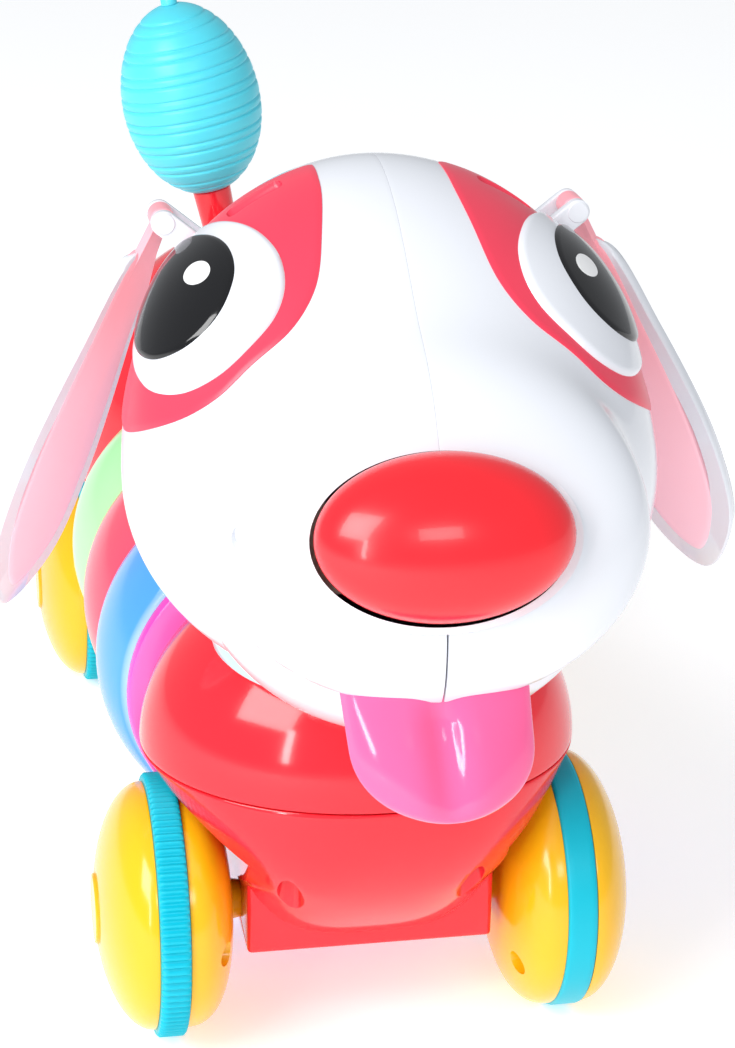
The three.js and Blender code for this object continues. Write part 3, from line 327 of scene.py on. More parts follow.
def fade_down(tree, place, colour, low_colour):
    """Fades an ear's colour from its hinge down nearly to its tip."""
    height = part_of(tree, place.outputs["Object"], "Z")
    low = EAR_HINGE[2] - EAR["length"] * 0.85
    return blend(tree, height, EAR_HINGE[2] * MM, low * MM, colour, low_colour)


WHITE = plastic("white_gloss", (0.80, 0.82, 0.87), 0.16, coat=0.3, variation=0.008)
CORAL = plastic("coral_gloss", (0.87, 0.018, 0.032), 0.13, coat=0.3, specular=0.35)
NOSE_RED = plastic("nose_gloss", (0.88, 0.016, 0.026), 0.24, coat=0.25, specular=0.4)
PATCH_RED = plastic("patch_satin", (0.88, 0.05, 0.10), 0.3)
PUPIL = plastic("pupil_gloss", (0.002, 0.002, 0.003), 0.12, grain=0.001, coat=0.4, specular=0.4)
MARK = plastic("printed_white", (0.9, 0.9, 0.9), 0.3, variation=0.01)
TONGUE_PINK = plastic("tongue_pink", (0.92, 0.12, 0.32), 0.12, coat=0.3, specular=0.4)
# The ear's pink glows a little: painted light, standing in for the light that shines through its thin
# plastic.
EAR_PINK = plastic("ear_pink", (0.95, 0.30, 0.36), 0.4, grain=0.01, glow=0.1, low_colour=(0.95, 0.56, 0.66))
BALL_BLUE = plastic("ball_blue", (0.09, 0.68, 0.82), 0.36, subsurface=0.15, grain=0.01)
YELLOW = plastic("wheel_yellow", (0.93, 0.50, 0.006), 0.2, coat=0.15)
TEAL = plastic("tyre_teal", (0.002, 0.50, 0.64), 0.4, grain=0.02, size=0.5, specular=0.3)
# The rings' edge colours are painted light: paler faces where the thin clear edges catch the light.
MAGENTA = plastic("ring_magenta", (0.90, 0.07, 0.52), 0.2, lit_edge_colour=(0.93, 0.16, 0.6))
BLUE = plastic("ring_blue", (0.08, 0.36, 0.90), 0.16, lit_edge_colour=(0.45, 0.72, 0.96))
RED = plastic("ring_red", (0.90, 0.08, 0.14), 0.16, lit_edge_colour=(0.97, 0.5, 0.55))
GREEN = plastic("ring_green", (0.42, 0.88, 0.40), 0.16, lit_edge_colour=(0.75, 0.96, 0.7))
COLLAR_BLUE = plastic("collar_blue", (0.45, 0.82, 0.88), 0.2)
STEEL = plastic("steel", (0.6, 0.61, 0.63), 0.28, metallic=1.0, grain=0.003, size=0.3)
NATURAL = plastic("natural_plastic", (0.82, 0.78, 0.66), 0.4, grain=0.01)
DARK = plastic("dark_plastic", (0.03, 0.03, 0.035), 0.45, grain=0.02, size=0.5)
BOARD = plastic("board_green", (0.02, 0.2, 0.07), 0.35, grain=0.01)
SLEEVE = plastic("cell_sleeve", (0.04, 0.3, 0.12), 0.25)

# The CAD nodes that stay, with their materials: they are inside, or plain pins and plates.
KEPT = {
    "front_axle": STEEL, "rear_axle": STEEL, "right_ear_pin": STEEL, "left_ear_pin": STEEL, "tail_pin": STEEL,
    "nose_spring": STEEL, "motor_pinion": STEEL, "motor": STEEL, "door_screw": STEEL, "nose_bracket": NATURAL,
    "axle_gear": NATURAL, "compound_gear": NATURAL, "nose_switch": DARK, "gearbox_frame": DARK,
    "battery_box": DARK, "switch_knob": DARK, "speaker": DARK, "circuit_board": BOARD,
    "battery_cell_1": SLEEVE, "battery_cell_2": SLEEVE, "core_tube": CORAL, "battery_door": CORAL,
}
for node, material in KEPT.items():
    slots = NODES[node].data.materials
    if len(slots):
        slots[0] = material
    else:
        slots.append(material)


# ---- Head surface ----------------------------------------------------------------------------------
def egg_field(points, egg):
    """Below 0 inside an egg that leans about x and is less high below its middle than above it."""
    offset = (points - np.array(egg["centre"])) @ rotation(-egg["lean"], "X").T
    height = np.where(offset[..., 2] < 0, egg["below"], egg["semi"][2])
    return np.sqrt((offset[..., 0] / egg["semi"][0]) ** 2 + (offset[..., 1] / egg["semi"][1]) ** 2
                   + (offset[..., 2] / height) ** 2) - 1


def head_field(points):
    """Below 0 inside the head, which is the skull and the muzzle with a soft blend where they meet."""
    skull, muzzle = egg_field(points, SKULL), egg_field(points, MUZZLE)
    nearer = np.minimum(skull, muzzle)
    shares = [np.exp((nearer - field) / HEAD_BLEND) for field in (skull, muzzle)]
    return nearer - HEAD_BLEND * np.log(sum(shares))


def on_head(directions, offset=0.0):
    """Points of the head's surface in these directions from its centre, moved out by an offset."""
    directions = directions / np.linalg.norm(directions, axis=-1, keepdims=True)
    inside = np.full(directions.shape[:-1], 10.0)
    outside = np.full(directions.shape[:-1], 140.0)
    for _ in range(34):
        middle = (inside + outside) / 2
        within = head_field(HEAD_CENTRE + directions * middle[..., None]) < 0
        inside, outside = np.where(within, middle, inside), np.where(within, outside, middle)
    return HEAD_CENTRE + directions * (inside + offset)[..., None]


def head_solid(name, offset, columns=128, rows=64):
    directions, faces = egg_shell((0, 0, 0), (1, 1, 1), columns, rows)
    return build(name, (on_head(np.asarray(directions), offset), faces))


def head_half(side, columns=176):
    """Half of the head as a shell: rows of points from its cheek to the middle line, and back inside."""
    angles = np.linspace(0, 2 * math.pi, columns, endpoint=False)
    last = math.pi / 2

    def row(tilt, offset, x=None):
        directions = np.stack([np.full(columns, side * math.cos(tilt)), math.sin(tilt) * np.cos(angles),
                               math.sin(tilt) * np.sin(angles)], axis=1)
        points = on_head(directions, offset)
        if x is not None:
            points[:, 0] = side * x
        return points

    tilts = np.linspace(0, last, 72)[:-1]
    below_nose = (np.sin(angles) < -0.1) & (np.cos(angles) < 0)
    gap = np.where(below_nose, 0.2, 0.02)  # the halves meet closely everywhere but under the nose
    edge = np.where(below_nose, 1.0, 0.2)
    seam = [row(last, 0, 0.6 * edge), row(last, -0.05 * edge, 0.3 * edge), row(last, -0.3 * edge, gap)]
    inner = [row(last, -WALL, gap), *[row(tilt, -WALL) for tilt in tilts[::-2]], row(0, -WALL)]
    return grid([*[row(tilt, 0) for tilt in tilts], *seam, *inner])


def in_nose_frame(shell):
    """A shell made round the nose's middle, y pointing in, tilted and moved to its place."""
    return moved(shell, NOSE["centre"], rotation(NOSE["tilt"], "X"))


SOCKET_ACROSS, SOCKET_HIGH = NOSE["semi"][0] + 0.4, NOSE["semi"][2] + 0.4
SOCKET_SHIFT = (-0.3, 0, -0.25)  # the opening shows a little wider below the button and to its right


def in_socket_frame(outline, closed):
    """An outline turned into the oval of the nose's opening, where a radius of 1 is the opening's."""
    shell = turned(outline, 128, closed=closed, axis="y")
    return in_nose_frame(moved(shell, SOCKET_SHIFT, scale=(SOCKET_ACROSS, 1, SOCKET_HIGH)))


def nose_socket():
    return build("socket", in_socket_frame([(0, -30), (1, -30), (1, 30), (0, 30)], closed=False))


def socket_wall():
    """The wall moulded round the inside of the nose's opening."""
    outer = 1 + WALL / SOCKET_ACROSS
    return in_socket_frame([(1, 2), (1, 10.5), (outer, 10.5), (outer, 2)], closed=True)


def neck_bore(radius=NECK_RADIUS):
    """The round way between the chest and the head."""
    return build("bore", rod(radius, 60, "z", (0, NECK_Y, 90), 96))


def chest_room(extra):
    """The chest's egg, larger by extra all round, to cut from what comes near it."""
    return build("room", egg_shell(CHEST_CENTRE, np.array(CHEST_SEMI) + extra, 96, 48))


def cheek_recess():
    """The round screw recess in the right cheek."""
    towards = np.array([-42.4, -51.7, -3.6])  # from the head's centre
    centre = on_head(towards[None])[0]
    outward = (centre - HEAD_CENTRE) / np.linalg.norm(centre - HEAD_CENTRE)
    turn = np.array(Vector(outward).to_track_quat("Z", "Y").to_matrix())
    return build("recess", moved(rod(2.8, 8, "z", (0, 0, -0.9), 40), centre, turn))


def ear_lugs(side, name):
    """The two rounded lugs that hold the ear's pin, before and behind its knuckle."""
    hinge = EAR_HINGE * (side, 1, 1)
    root = np.array([side * 30.0, EAR_HINGE[1], 200.0])
    arm = hinge - root
    turn = rotation(math.degrees(math.atan2(arm[0], arm[2])), "Y")
    near = KNUCKLE_HALF + 0.2
    lugs = []
    for front, depth in ((-near - 3.1, 3.1), (near, 2.5)):
        low = (-KNUCKLE_RADIUS, front + 0.2, 0)
        high = (KNUCKLE_RADIUS, front + depth - 0.2, np.linalg.norm(arm))
        strut = build("strut", moved(block(low, high, 0.4), root, turn))
        barrel = build("lug", rod(KNUCKLE_RADIUS, depth, "y", hinge + (0, front, 0), 48, 0.6))
        lugs.append(combine(barrel, "UNION", strut))
    whole = combine(lugs[0], "UNION", lugs[1])
    whole.name = name
    return cut(whole, build("pin_hole", rod(1.35, 30, "y", hinge - (0, 6.2, 0), 32)))


def eye_frame(side):
    """The middle of an eye on the head, and the directions back and up along the head there."""
    out = np.array([47.0 * side, -34, 207]) - HEAD_CENTRE
    out /= np.linalg.norm(out)
    origin = on_head(out[None])[0]
    up = np.array([0, 0, 1]) - out * out[2]
    up /= np.linalg.norm(up)
    return origin, np.cross(up, out) * side, up


def patch_slot(side, grow=0.0):
    """A long slot in the patch, in front of the ear. The head has a larger one below the patch."""
    origin, back, up = eye_frame(side)
    centre = on_head(np.array([[side * 30.0, -8.0, 223.7]]) - HEAD_CENTRE)[0]
    out = (centre - HEAD_CENTRE) / np.linalg.norm(centre - HEAD_CENTRE)
    turn = np.stack([back, np.cross(out, back), out], axis=1)
    low, high = (-2.7 - grow, -8.0 - grow, -2.0 - grow), (2.7 + grow, 8.0 + grow, 6)
    return build("slot", moved(block(low, high, 1.9, 5), centre, turn))


for side, name in ((-1, "right"), (1, "left")):
    half = build("head_" + name, head_half(side))
    cut(half, nose_socket(), neck_bore(), chest_room(2), patch_slot(side, 0.4))
    if side < 0:
        cut(half, cheek_recess())
    show(half, WHITE, "body", "head_" + name + "_shell")
    show(ear_lugs(side, "head_" + name + "_ear_lugs"), WHITE, "body")
show(build("nose_socket_wall", socket_wall()), WHITE, "body")
neck_cover = combine(head_solid("neck_cover", -0.15), "INTERSECT", neck_bore(NECK_RADIUS - GAP))
show(cut(neck_cover, head_solid("cover_inside", -WALL)), WHITE, "body")


# ---- Nose --------------------------------------------------------------------------------------------
def nose_button():
    """An oval cushion of a button on a short stem."""
    back = NOSE["back"] / NOSE["semi"][1]
    outline = [(math.sin(tilt), -math.cos(tilt)) for tilt in np.linspace(0, math.pi - math.acos(back), 56)]
    rim = outline[-1]
    outline += [(rim[0] - 0.03, rim[1] + 0.02), (0, rim[1] + 0.02)]
    cap = moved(turned(outline, 128, closed=False, axis="y"), scale=NOSE["semi"])
    return build("nose", in_nose_frame(cap), in_nose_frame(rod(4, 10, "y", (0, 4, 0), 32, 0.4)))


show(nose_button(), NOSE_RED, "nose", "nose_button")

# ---- Eyes --------------------------------------------------------------------------------------------
# Outlines in mm back and up from the middle of the eye.
PATCH_LOOP = [(41, 46), (21, 45), (2, 37), (-15, 25), (-22.5, 11), (-22.5, -3), (-21, -15), (-13, -26),
              (8, -37), (22, -34), (31, -20), (36, -3), (38, 13), (39, 30)]
EYE_LOOP = [(9, 21), (-1, 21.5), (-10, 17.5), (-16, 10), (-18, 0), (-17, -10), (-11, -18.5), (0, -22.5),
            (14, -20), (25, -13), (30, -2), (29.5, 6), (26, 12), (18, 17.5)]
PUPIL_LOOP = [(8, 13), (0, 10.5), (-5.5, 4), (-7, -3), (-5, -10), (1, -15.5), (10, -16.5), (19, -11.5),
              (25.5, -3), (25, 5), (17, 11)]
PUPIL_MIDDLE = (9.0, -2.0)
LOOP_STEPS = 168
WHITE_RISE, PUPIL_RISE, PUPIL_CROWN = 1.6, 3.1, 1.4


def plate(side, loop, middle, inner, outer, crown, edge, rings=28):
    """A plate on the head between two offsets, thicker by a crown in its middle, with a rounded edge."""
    origin, back, up = eye_frame(side)
    rim = smooth_loop(loop, LOOP_STEPS)
    middle = np.array(middle, float)

    def row(share, offset):
        place = middle + (rim - middle) * share
        return on_head(origin + place[:, :1] * back + place[:, 1:] * up - HEAD_CENTRE, offset)

    shares = np.linspace(0, 1, rings + 1) ** 0.8
    rows = []
    for share in shares:
        bend = max(0.0, (share - 0.94) / 0.06)
        rows.append(row(share, outer + crown * (1 - share**2) - edge * bend**2))
    rows += [row(1, inner), row(0.5, inner), row(0, inner)]
    return grid(rows)


def lug_room(side):
    """The room that the ear's lugs need in the patch."""
    hinge = EAR_HINGE * (side, 1, 1)
    return build("lug_room", block(hinge - (36, 6.7, 24), hinge + (36, 6.7, 14)))


def pupil_mark(side):
    """A round white mark printed on the pupil, following its crown."""
    origin, back, up = eye_frame(side)
    middle = np.array(PUPIL_MIDDLE)
    rim = smooth_loop(PUPIL_LOOP, LOOP_STEPS) - middle
    turns = np.arctan2(rim[:, 1], rim[:, 0])
    reaches = np.hypot(rim[:, 0], rim[:, 1])
    order = np.argsort(turns)
    spot = np.array([5.5, 4.4] if side < 0 else [3.5, 4.4])
    angles = np.linspace(0, 2 * math.pi, 48, endpoint=False)

    def row(size, lift):
        place = spot + size * np.stack([3.2 * np.cos(angles), 3.0 * np.sin(angles)], axis=1)
        across, high = (place - middle).T
        reach = np.interp(np.arctan2(high, across), turns[order], reaches[order], period=2 * math.pi)
        share = np.hypot(across, high) / reach
        offset = PUPIL_RISE + PUPIL_CROWN * (1 - share**2) + lift
        return on_head(origin + place[:, :1] * back + place[:, 1:] * up - HEAD_CENTRE, offset)

    return grid([row(0, 0.06), row(0.5, 0.06), row(1, 0.06), row(1, -0.4), row(0.5, -0.4), row(0, -0.4)])


for side, name in ((-1, "right"), (1, "left")):
    patch = plate(side, PATCH_LOOP, (4, 2), inner=-2.9, outer=0.5, crown=0.0, edge=0.3)
    patch = cut(build(name + "_patch", patch), lug_room(side), patch_slot(side))
    show(patch, PATCH_RED, "body", name + "_eye_patch")
    white = plate(side, EYE_LOOP, (5, 0), inner=0.0, outer=WHITE_RISE, crown=1.5, edge=0.9)
    show(build(name + "_white", white), WHITE, "body", name + "_eye_white")
    pupil = plate(side, PUPIL_LOOP, PUPIL_MIDDLE, WHITE_RISE, PUPIL_RISE, PUPIL_CROWN, edge=0.45)
    show(build(name + "_pupil_lens", pupil), PUPIL, "body", name + "_pupil")
    show(build(name + "_pupil_mark", pupil_mark(side)), MARK, "body")


# ---- Mouth and neck --------------------------------------------------------------------------------
def tongue():
    """A hanging blade with a round end, full sides and a groove down its middle."""
    half, top, bottom, front, aside = 21.3, 138.0, 105.3, -87.0, -1.4
    columns = 144
    angles = np.linspace(0, 2 * math.pi, columns, endpoint=False)
    across = np.sign(np.cos(angles)) * np.abs(np.cos(angles)) ** 0.9
    rows = []
    for z in top + (bottom - top) * np.sin(np.linspace(0, math.pi / 2, 64)):
        fall = (top - z) / (top - bottom)
        round_end = (1 - max(0.0, (fall - 0.5) / 0.5) ** 2.3) ** 0.5
        width = half * (1 - 0.05 * fall) * round_end
        depth = 3.4 * (1 - max(0.0, (fall - 0.8) / 0.2) ** 2) ** 0.5
        place = across * max(width, 0.01)
        groove = 3.3 * np.exp(-((place / 4.4) ** 2)) * (1 - fall**5) * min(1, 3 * fall)
        crown = 3.4 * (1 - np.abs(across) ** 3) * round_end * min(1, 0.3 + 1.5 * fall)
        relief = (crown - groove) * np.clip(-np.sin(angles), 0, 1) ** 0.5
        y = front - 11.0 * fall**1.15 + np.sin(angles) * depth - relief
        rows.append(np.stack([aside + 3.0 * fall + place, y, np.full(columns, z)], axis=1))
    top_end, tip_end = (np.tile(rows[i].mean(axis=0), (columns, 1)) for i in (0, -1))
    root = block((-14, -86.5, 122), (14, -62, 131.5), 2)
    return build("tongue_blade", grid([top_end, *rows, tip_end]), root)


def lower_jaw():
    """A dish under the muzzle, open to the head, the mouth, the tongue's root, the chest and the collar."""
    dish = build("jaw", egg_shell((0, -45, 150), (49, 47, 43), 128, 64))
    mouth = build("mouth_room", block((-24, -100, 99), (22, -84.5, 140)))
    root = build("tongue_room", block((-14.5, -90, 121.5), (14.5, -60, 132.5)))
    rear = build("rear", block((-80, NECK_Y - NECK_RADIUS, 60), (80, 60, 220)))
    cut(dish, head_solid("head_room", GAP), rear, mouth, root, chest_room(2), collar_solid(GAP))
    return soften(dish, 0.5)


def collar_solid(extra=0.0):
    """The collar before the head and the chest are cut from it, larger by extra if it is a room."""
    outline = [(21, 109.5 - extra), (38.6 + extra, 109.5 - extra), (39.6 + extra, 110.6), (40 + extra, 113.7),
               (39.6 + extra, 117), (38.6 + extra, 118 + extra), (21, 118 + extra)]
    ring = build("collar_ring", moved(turned(outline, 128), (0, NECK_Y, 0)))
    return cut(ring, build("rear", block((-80, 15, 60), (80, 90, 220))))


show(tongue(), TONGUE_PINK, "body", "tongue")
show(lower_jaw(), WHITE, "body", "lower_jaw")
collar = cut(collar_solid(), head_solid("head_room", GAP), chest_room(GAP))
show(collar, COLLAR_BLUE, "body", "collar")


# ---- Chest and rump ----------------------------------------------------------------------------------
def dome_shell(centre, semi, columns=144):
    """The part of an egg above the seam as a shell, with a rounded rim."""
    lift = (SEAM - centre[2]) / semi[2]
    angles = np.linspace(0, 2 * math.pi, columns, endpoint=False)

    def row(height, shrink, z=None):
        size = math.sqrt(max(0.0, 1 - height**2))
        points = np.stack([(semi[0] - shrink) * size * np.cos(angles),
                           (semi[1] - shrink) * size * np.sin(angles),
                           np.full(columns, (semi[2] - shrink) * height)], axis=1) + np.array(centre)
        if z is not None:
            points[:, 2] = z
        return points

    tilts = np.linspace(math.pi / 2, math.asin(lift), 44)
    rim = ((0, 0.9), (0.1, 0.4), (0.45, 0.15), (WALL, 0.15))  # each is in from the egg, up from the seam
    rows = [row(math.sin(tilt), 0) for tilt in tilts[:-1]]
    rows += [row(lift, shrink, SEAM + rise) for shrink, rise in rim]
    rows += [row(math.sin(tilt), WALL) for tilt in tilts[-2::-1]]
    return grid(rows)


def chest_bowl_rows(inset, columns=144):
    """Rows of the chest's bowl from the seam down, squarer and smaller towards the foot."""
    depth = SEAM - FOOT["bottom"]
    angles = np.linspace(0, 2 * math.pi, columns, endpoint=False)
    rows = []
    for z in np.linspace(SEAM - 0.2, FOOT["bottom"] + inset, 40):
        drop = (SEAM - z) / depth
        half = CHEST_SEMI[0] - inset - 35.5 * min(drop, 0.6) - 22 * max(drop - 0.6, 0)
        reach = CHEST_SEMI[1] - inset - 28 * drop**2.2
        square = 2 + min(2 * drop, 1)
        spread = (np.abs(np.cos(angles)) ** square + np.abs(np.sin(angles)) ** square) ** (-1 / square)
        across, along = half * spread * np.cos(angles), CHEST_CENTRE[1] + reach * spread * np.sin(angles)
        rows.append(np.stack([across, along, np.full(columns, z)], axis=1))
    return rows


def bowl_solid(inset):
    """The bowl joined to its square foot. The outer one has a rounded rim at the seam."""
    rows = chest_bowl_rows(inset)
    centre = np.array([0, CHEST_CENTRE[1], 0])
    if inset == 0:
        rows = [(rows[0] - centre) * (0.996, 0.996, 1) + centre, rows[0] - (0, 0, 0.3), *rows[1:]]
    top = np.tile([0, CHEST_CENTRE[1], rows[0][0][2]], (len(rows[0]), 1))
    low = np.tile([0, CHEST_CENTRE[1], rows[-1][0][2]], (len(rows[0]), 1))
    bowl = build("bowl", grid([top, *rows, low]))
    half, front, bottom = FOOT["half"] - inset, FOOT["front"] + inset, FOOT["bottom"] + inset
    foot = build("foot", block((-half, front, bottom), (half, CHEST_REAR + 3, SEAM - 15), 1.2))
    return combine(bowl, "UNION", foot)


def wheel_rooms(y, wall=0.0):
    """The rooms of an axle's two wheels, larger where a wall stays round them."""
    radius, start = WHEEL_ROOM + wall, WHEEL_ROOM_FROM - wall
    return [build("wheel_room", rod(radius, 60, "x", (x, y, AXLE_HEIGHT), 96)) for x in (start, -start - 60)]


def axle_hole(y):
    return build("axle_hole", rod(2.6, 90, "x", (-45, y, AXLE_HEIGHT), 32))


def screw_wells(wall=0.0):
    """The two deep screw wells under the chest, larger where a wall stays round them."""
    low = FOOT["bottom"] - 1
    return [build("well", rod(3.4 + wall, 36 + wall, "z", (x, -29.3, low), 48)) for x in (-23, 23)]


def core_room(front):
    """The room of an end of the oval tube that the rings sit on."""
    radius, length = CORE_RADIUS + GAP, 18
    outline = [(0, 0), (radius, 0), (radius, length), (0, length)]
    shell = moved(turned(outline, 96, closed=False, axis="y"), (0, front, RING_HEIGHT),
                  scale=(1, 1, RING_HALF_HEIGHT / RING_HALF_WIDTH))
    return build("core_room", shell)


def behind(y):
    """A block to cut away everything behind y."""
    return build("behind", block((-90, y, 0), (90, y + 150, 200)))


def ahead(y):
    """A block to cut away everything ahead of y."""
    return build("ahead", block((-90, y - 80, 0), (90, y, 200)))


chest_top = build("chest_top", dome_shell(CHEST_CENTRE, CHEST_SEMI))
cut(chest_top, behind(CHEST_REAR), neck_bore(), core_room(CHEST_REAR - 9))
show(chest_top, CORAL, "body", "chest_upper_shell")

chest_bottom = bowl_solid(0)
chest_bottom.name = "chest_bottom"
grille = [build("grille", rod(1.6, 8, "z", (x, 20, FOOT["bottom"] - 3), 24)) for x in (-10, 0, 10)]
hollow = cut(bowl_solid(WALL), *wheel_rooms(0, WALL), *screw_wells(2))
cut(chest_bottom, hollow, behind(CHEST_REAR), *wheel_rooms(0), core_room(CHEST_REAR - 9), axle_hole(0),
    *screw_wells(), *grille)
soften(chest_bottom, 0.35)
show(chest_bottom, CORAL, "body", "chest_lower_shell")

rump_top = build("rump_top", dome_shell(RUMP_CENTRE, RUMP_SEMI))
slot = block((TAIL_HINGE[0] - 13.5, TAIL_HINGE[1] - 7, 130), (TAIL_HINGE[0] + 8, TAIL_HINGE[1] + 7, 175), 1.5)
cut(rump_top, ahead(RUMP_FRONT + GAP), build("tail_slot", slot), core_room(RUMP_FRONT - 5))
show(rump_top, CORAL, "body", "rump_upper_shell")


def rump_solid(inset):
    """The egg below the seam, joined to the belly that holds the batteries."""
    egg = build("rump_egg", egg_shell(RUMP_CENTRE, np.array(RUMP_SEMI) - inset, 144, 72))
    half, rear, bottom = BELLY["half"] - inset, BELLY["rear"] - inset, BELLY["bottom"] + inset
    belly = build("belly", block((-half, RUMP_FRONT - 9, bottom), (half, rear, BELLY["top"]), 1.5))
    return combine(egg, "UNION", belly)


rump_bottom = rump_solid(0)
rump_bottom.name = "rump_bottom"
inside = cut(rump_solid(WALL), *wheel_rooms(WHEELBASE, WALL))
above = build("above", block((-90, 100, SEAM - 0.15), (90, 300, 200)))
door_hole = build("door_hole", block((-26, 170, 8), (26, 213, 27)))
switch_hole = build("switch_hole", block((-9, 230.5, 8), (9, 237.5, 27)))
cut(rump_bottom, inside, above, ahead(RUMP_FRONT + GAP), *wheel_rooms(WHEELBASE),
    core_room(RUMP_FRONT - 5), door_hole, switch_hole, axle_hole(WHEELBASE))
soften(rump_bottom, 0.35)
show(rump_bottom, CORAL, "body", "rump_lower_shell")


# ---- Rings -------------------------------------------------------------------------------------------
def oval_ring(name, half_width, front, outline):
    """An outline turned into an oval, and scaled so that RING_HALF_WIDTH becomes half_width."""
    scale = half_width / RING_HALF_WIDTH
    shell = moved(turned(outline, 160, axis="y"), (0, front, RING_HEIGHT),
                  scale=(scale, 1, scale * RING_HALF_HEIGHT / RING_HALF_WIDTH))
    return build(name, shell)


def body_ring(name, index):
    """A crowned ring with rounded shoulders and a thin lip at each end."""
    width = RING_PITCH - GAP
    seat, hollow, crown, corner = CORE_RADIUS + 0.4, 49.8, 11, 1.2
    outer = []
    for t in np.linspace(0, 1, 33):
        bulge = math.sqrt(1 - (2 * t - 1) ** 2 * 0.75)
        shoulder = corner * max(0.0, 1 - min(t, 1 - t) * width / corner) ** 2
        outer.append((RING_HALF_WIDTH - crown * (1 - bulge) - shoulder, width * t))
    outline = [*outer, (seat, width), (seat, width - WALL), (hollow, width - WALL), (hollow, WALL),
               (seat, WALL), (seat, 0)]
    return oval_ring(name, RING_HALF_WIDTH, RINGS_FRONT + index * RING_PITCH, outline)


thin = [(46.8, 0), (61.2, 0), (62.3, 0.5), (62.8, 1.5), (63, 2.7), (62.8, 3.9), (62.3, 4.9), (61.2, 5.4),
        (46.8, 5.4)]
show(oval_ring("magenta_ring", half_width=57, front=35.6, outline=thin), MAGENTA, "body", "thin_ring")
show(body_ring("blue_ring", 0), BLUE, "body", "front_ring")
show(body_ring("red_ring", 1), RED, "body", "middle_ring")
show(body_ring("green_ring", 2), GREEN, "body", "rear_ring")


# ---- Wheels ------------------------------------------------------------------------------------------
def wheel_part(name, side, y, outline, columns=128, wave=None, closed=True):
    """Turned about the axle: heights count outwards from the middle of the tyre."""
    shell = turned(outline, columns, closed=closed, axis="x", wave=wave)
    return build(name, moved(shell, (side * HALF_TRACK, y, AXLE_HEIGHT), scale=(side, 1, 1)))


def dome_outline(radius):
    """The outer dome, with a low disc on its middle."""
    start = TYRE_HALF + GAP
    top = start + OUTER_BULGE
    disc = [(0, top + 0.3), (8.8, top + 0.1), (9.1, top - 0.2), (9.2, top - 1)]
    outer = [(r, start + h) for r, h in arc(radius, OUTER_BULGE, 30) if 9.2 < r < radius - 0.01]
    rim = [(radius, start + 0.5), (radius - 0.05, start + 0.05), (radius - 0.5, start)]
    inner = [(r, start + h) for r, h in arc(radius - WALL, OUTER_BULGE - WALL, 20)]
    return [*disc, *outer, *rim, *inner[::-1]]


def hub_outline(radius):
    """The inner dome, the barrel that the tyre sits on, and a boss round the axle."""
    start, bore, inside = TYRE_HALF + GAP, 2.3, HUB_RADIUS - WALL
    end = FOOT["half"] + GAP - HALF_TRACK
    boss = [(bore, end), (4.5, end), (4.9, end - 0.4), (5.4, -start - INNER_BULGE)]
    outer = [(r, -start - h) for r, h in arc(radius, INNER_BULGE, 30, start=6.0, fullness=2.5)]
    rim = [(radius - 0.05, -start - 0.05), (radius - 0.5, -start)]
    barrel = [(HUB_RADIUS, -start), (HUB_RADIUS, TYRE_HALF), (inside, TYRE_HALF)]
    inner = [(r, -start - h) for r, h in arc(inside, INNER_BULGE - WALL, 20, start=5.0, fullness=2.5)]
    return [*boss, *outer[:-1], *rim, *barrel, *inner[::-1], (5.0, TYRE_HALF), (bore, TYRE_HALF)]


def screw_recesses(side, y):
    """Three round screw recesses in the inner dome."""
    first = -177 if side < 0 else -150
    reach, length = 25.5, 11.6
    x = 30 if side > 0 else -30 - length
    tools = []
    for turn in (0, 120, 240):
        angle = math.radians(first + turn)
        start = (x, y + reach * math.cos(angle), AXLE_HEIGHT + reach * math.sin(angle))
        tools.append(build("screw_recess", rod(3.1, length, "x", start, 32)))
    return tools


def tyre_outline(dome_radius):
    """A band with sloping edges. The third numbers say how much of the ribs' depth a point gets."""
    half, inside = TYRE_HALF + GAP * 0.8, HUB_RADIUS + 0.7
    shoulder = min(dome_radius, AXLE_HEIGHT - 0.8)
    top = AXLE_HEIGHT - 0.05
    edge = shoulder + (top - shoulder) * 0.7
    tread = [(top, -half + 0.9 + (2 * half - 1.8) * t, 1.0) for t in np.linspace(0, 1, 7)]
    return [(inside, -half), (shoulder, -half), (edge, -half + 0.25, 0.5), *tread,
            (edge, half - 0.25, 0.5), (shoulder, half), (inside, half)]


def rib_wave(angles):
    return -RIB_DEPTH / 2 * (1 + np.cos(RIBS * angles))


for end, y in (("front", 0.0), ("rear", WHEELBASE)):
    for side, name in ((-1, "right"), (1, "left")):
        node = end + "_" + name + "_wheel_"
        body = end + "_wheels"
        radius = DOME_RADIUS[side]
        dome = wheel_part(node + "dome_cover", side, y, dome_outline(radius), closed=False)
        show(dome, YELLOW, body, node + "outer_dome")
        hub = wheel_part(node + "inner_cover", side, y, hub_outline(radius))
        cut(hub, *screw_recesses(side, y))
        show(hub, YELLOW, body, node + "hub")
        columns, wave = (RIBS * 8, rib_wave) if side < 0 else (192, None)  # smooth tyres on the left
        band = wheel_part(node + "band", side, y, tyre_outline(radius), columns, wave)
        show(band, TEAL, body, node + "tyre", angle=60)


# ---- Ears --------------------------------------------------------------------------------------------
def ear_outline(margin, steps=120):
    """The rim of an ear as (y, z) from its hinge, or a loop that much inside it."""
    half = EAR["width"] / 2 - margin
    tip = -EAR["length"] + margin
    middle = -EAR["forward"]
    shape = [(0.3, 0.1), (0.68, 0.32), (1, 0.66), (0.8, 0.88)]  # shares of the half width, of the length

    def lean(z):
        return middle * min(1, -z / EAR["length"] * 2)

    down = [(lean(tip * d) - half * out, tip * d) for out, d in shape]
    up = [(lean(tip * d) + half * out, tip * d) for out, d in shape[::-1]]
    return smooth_loop([*down, (middle, tip), *up], steps)


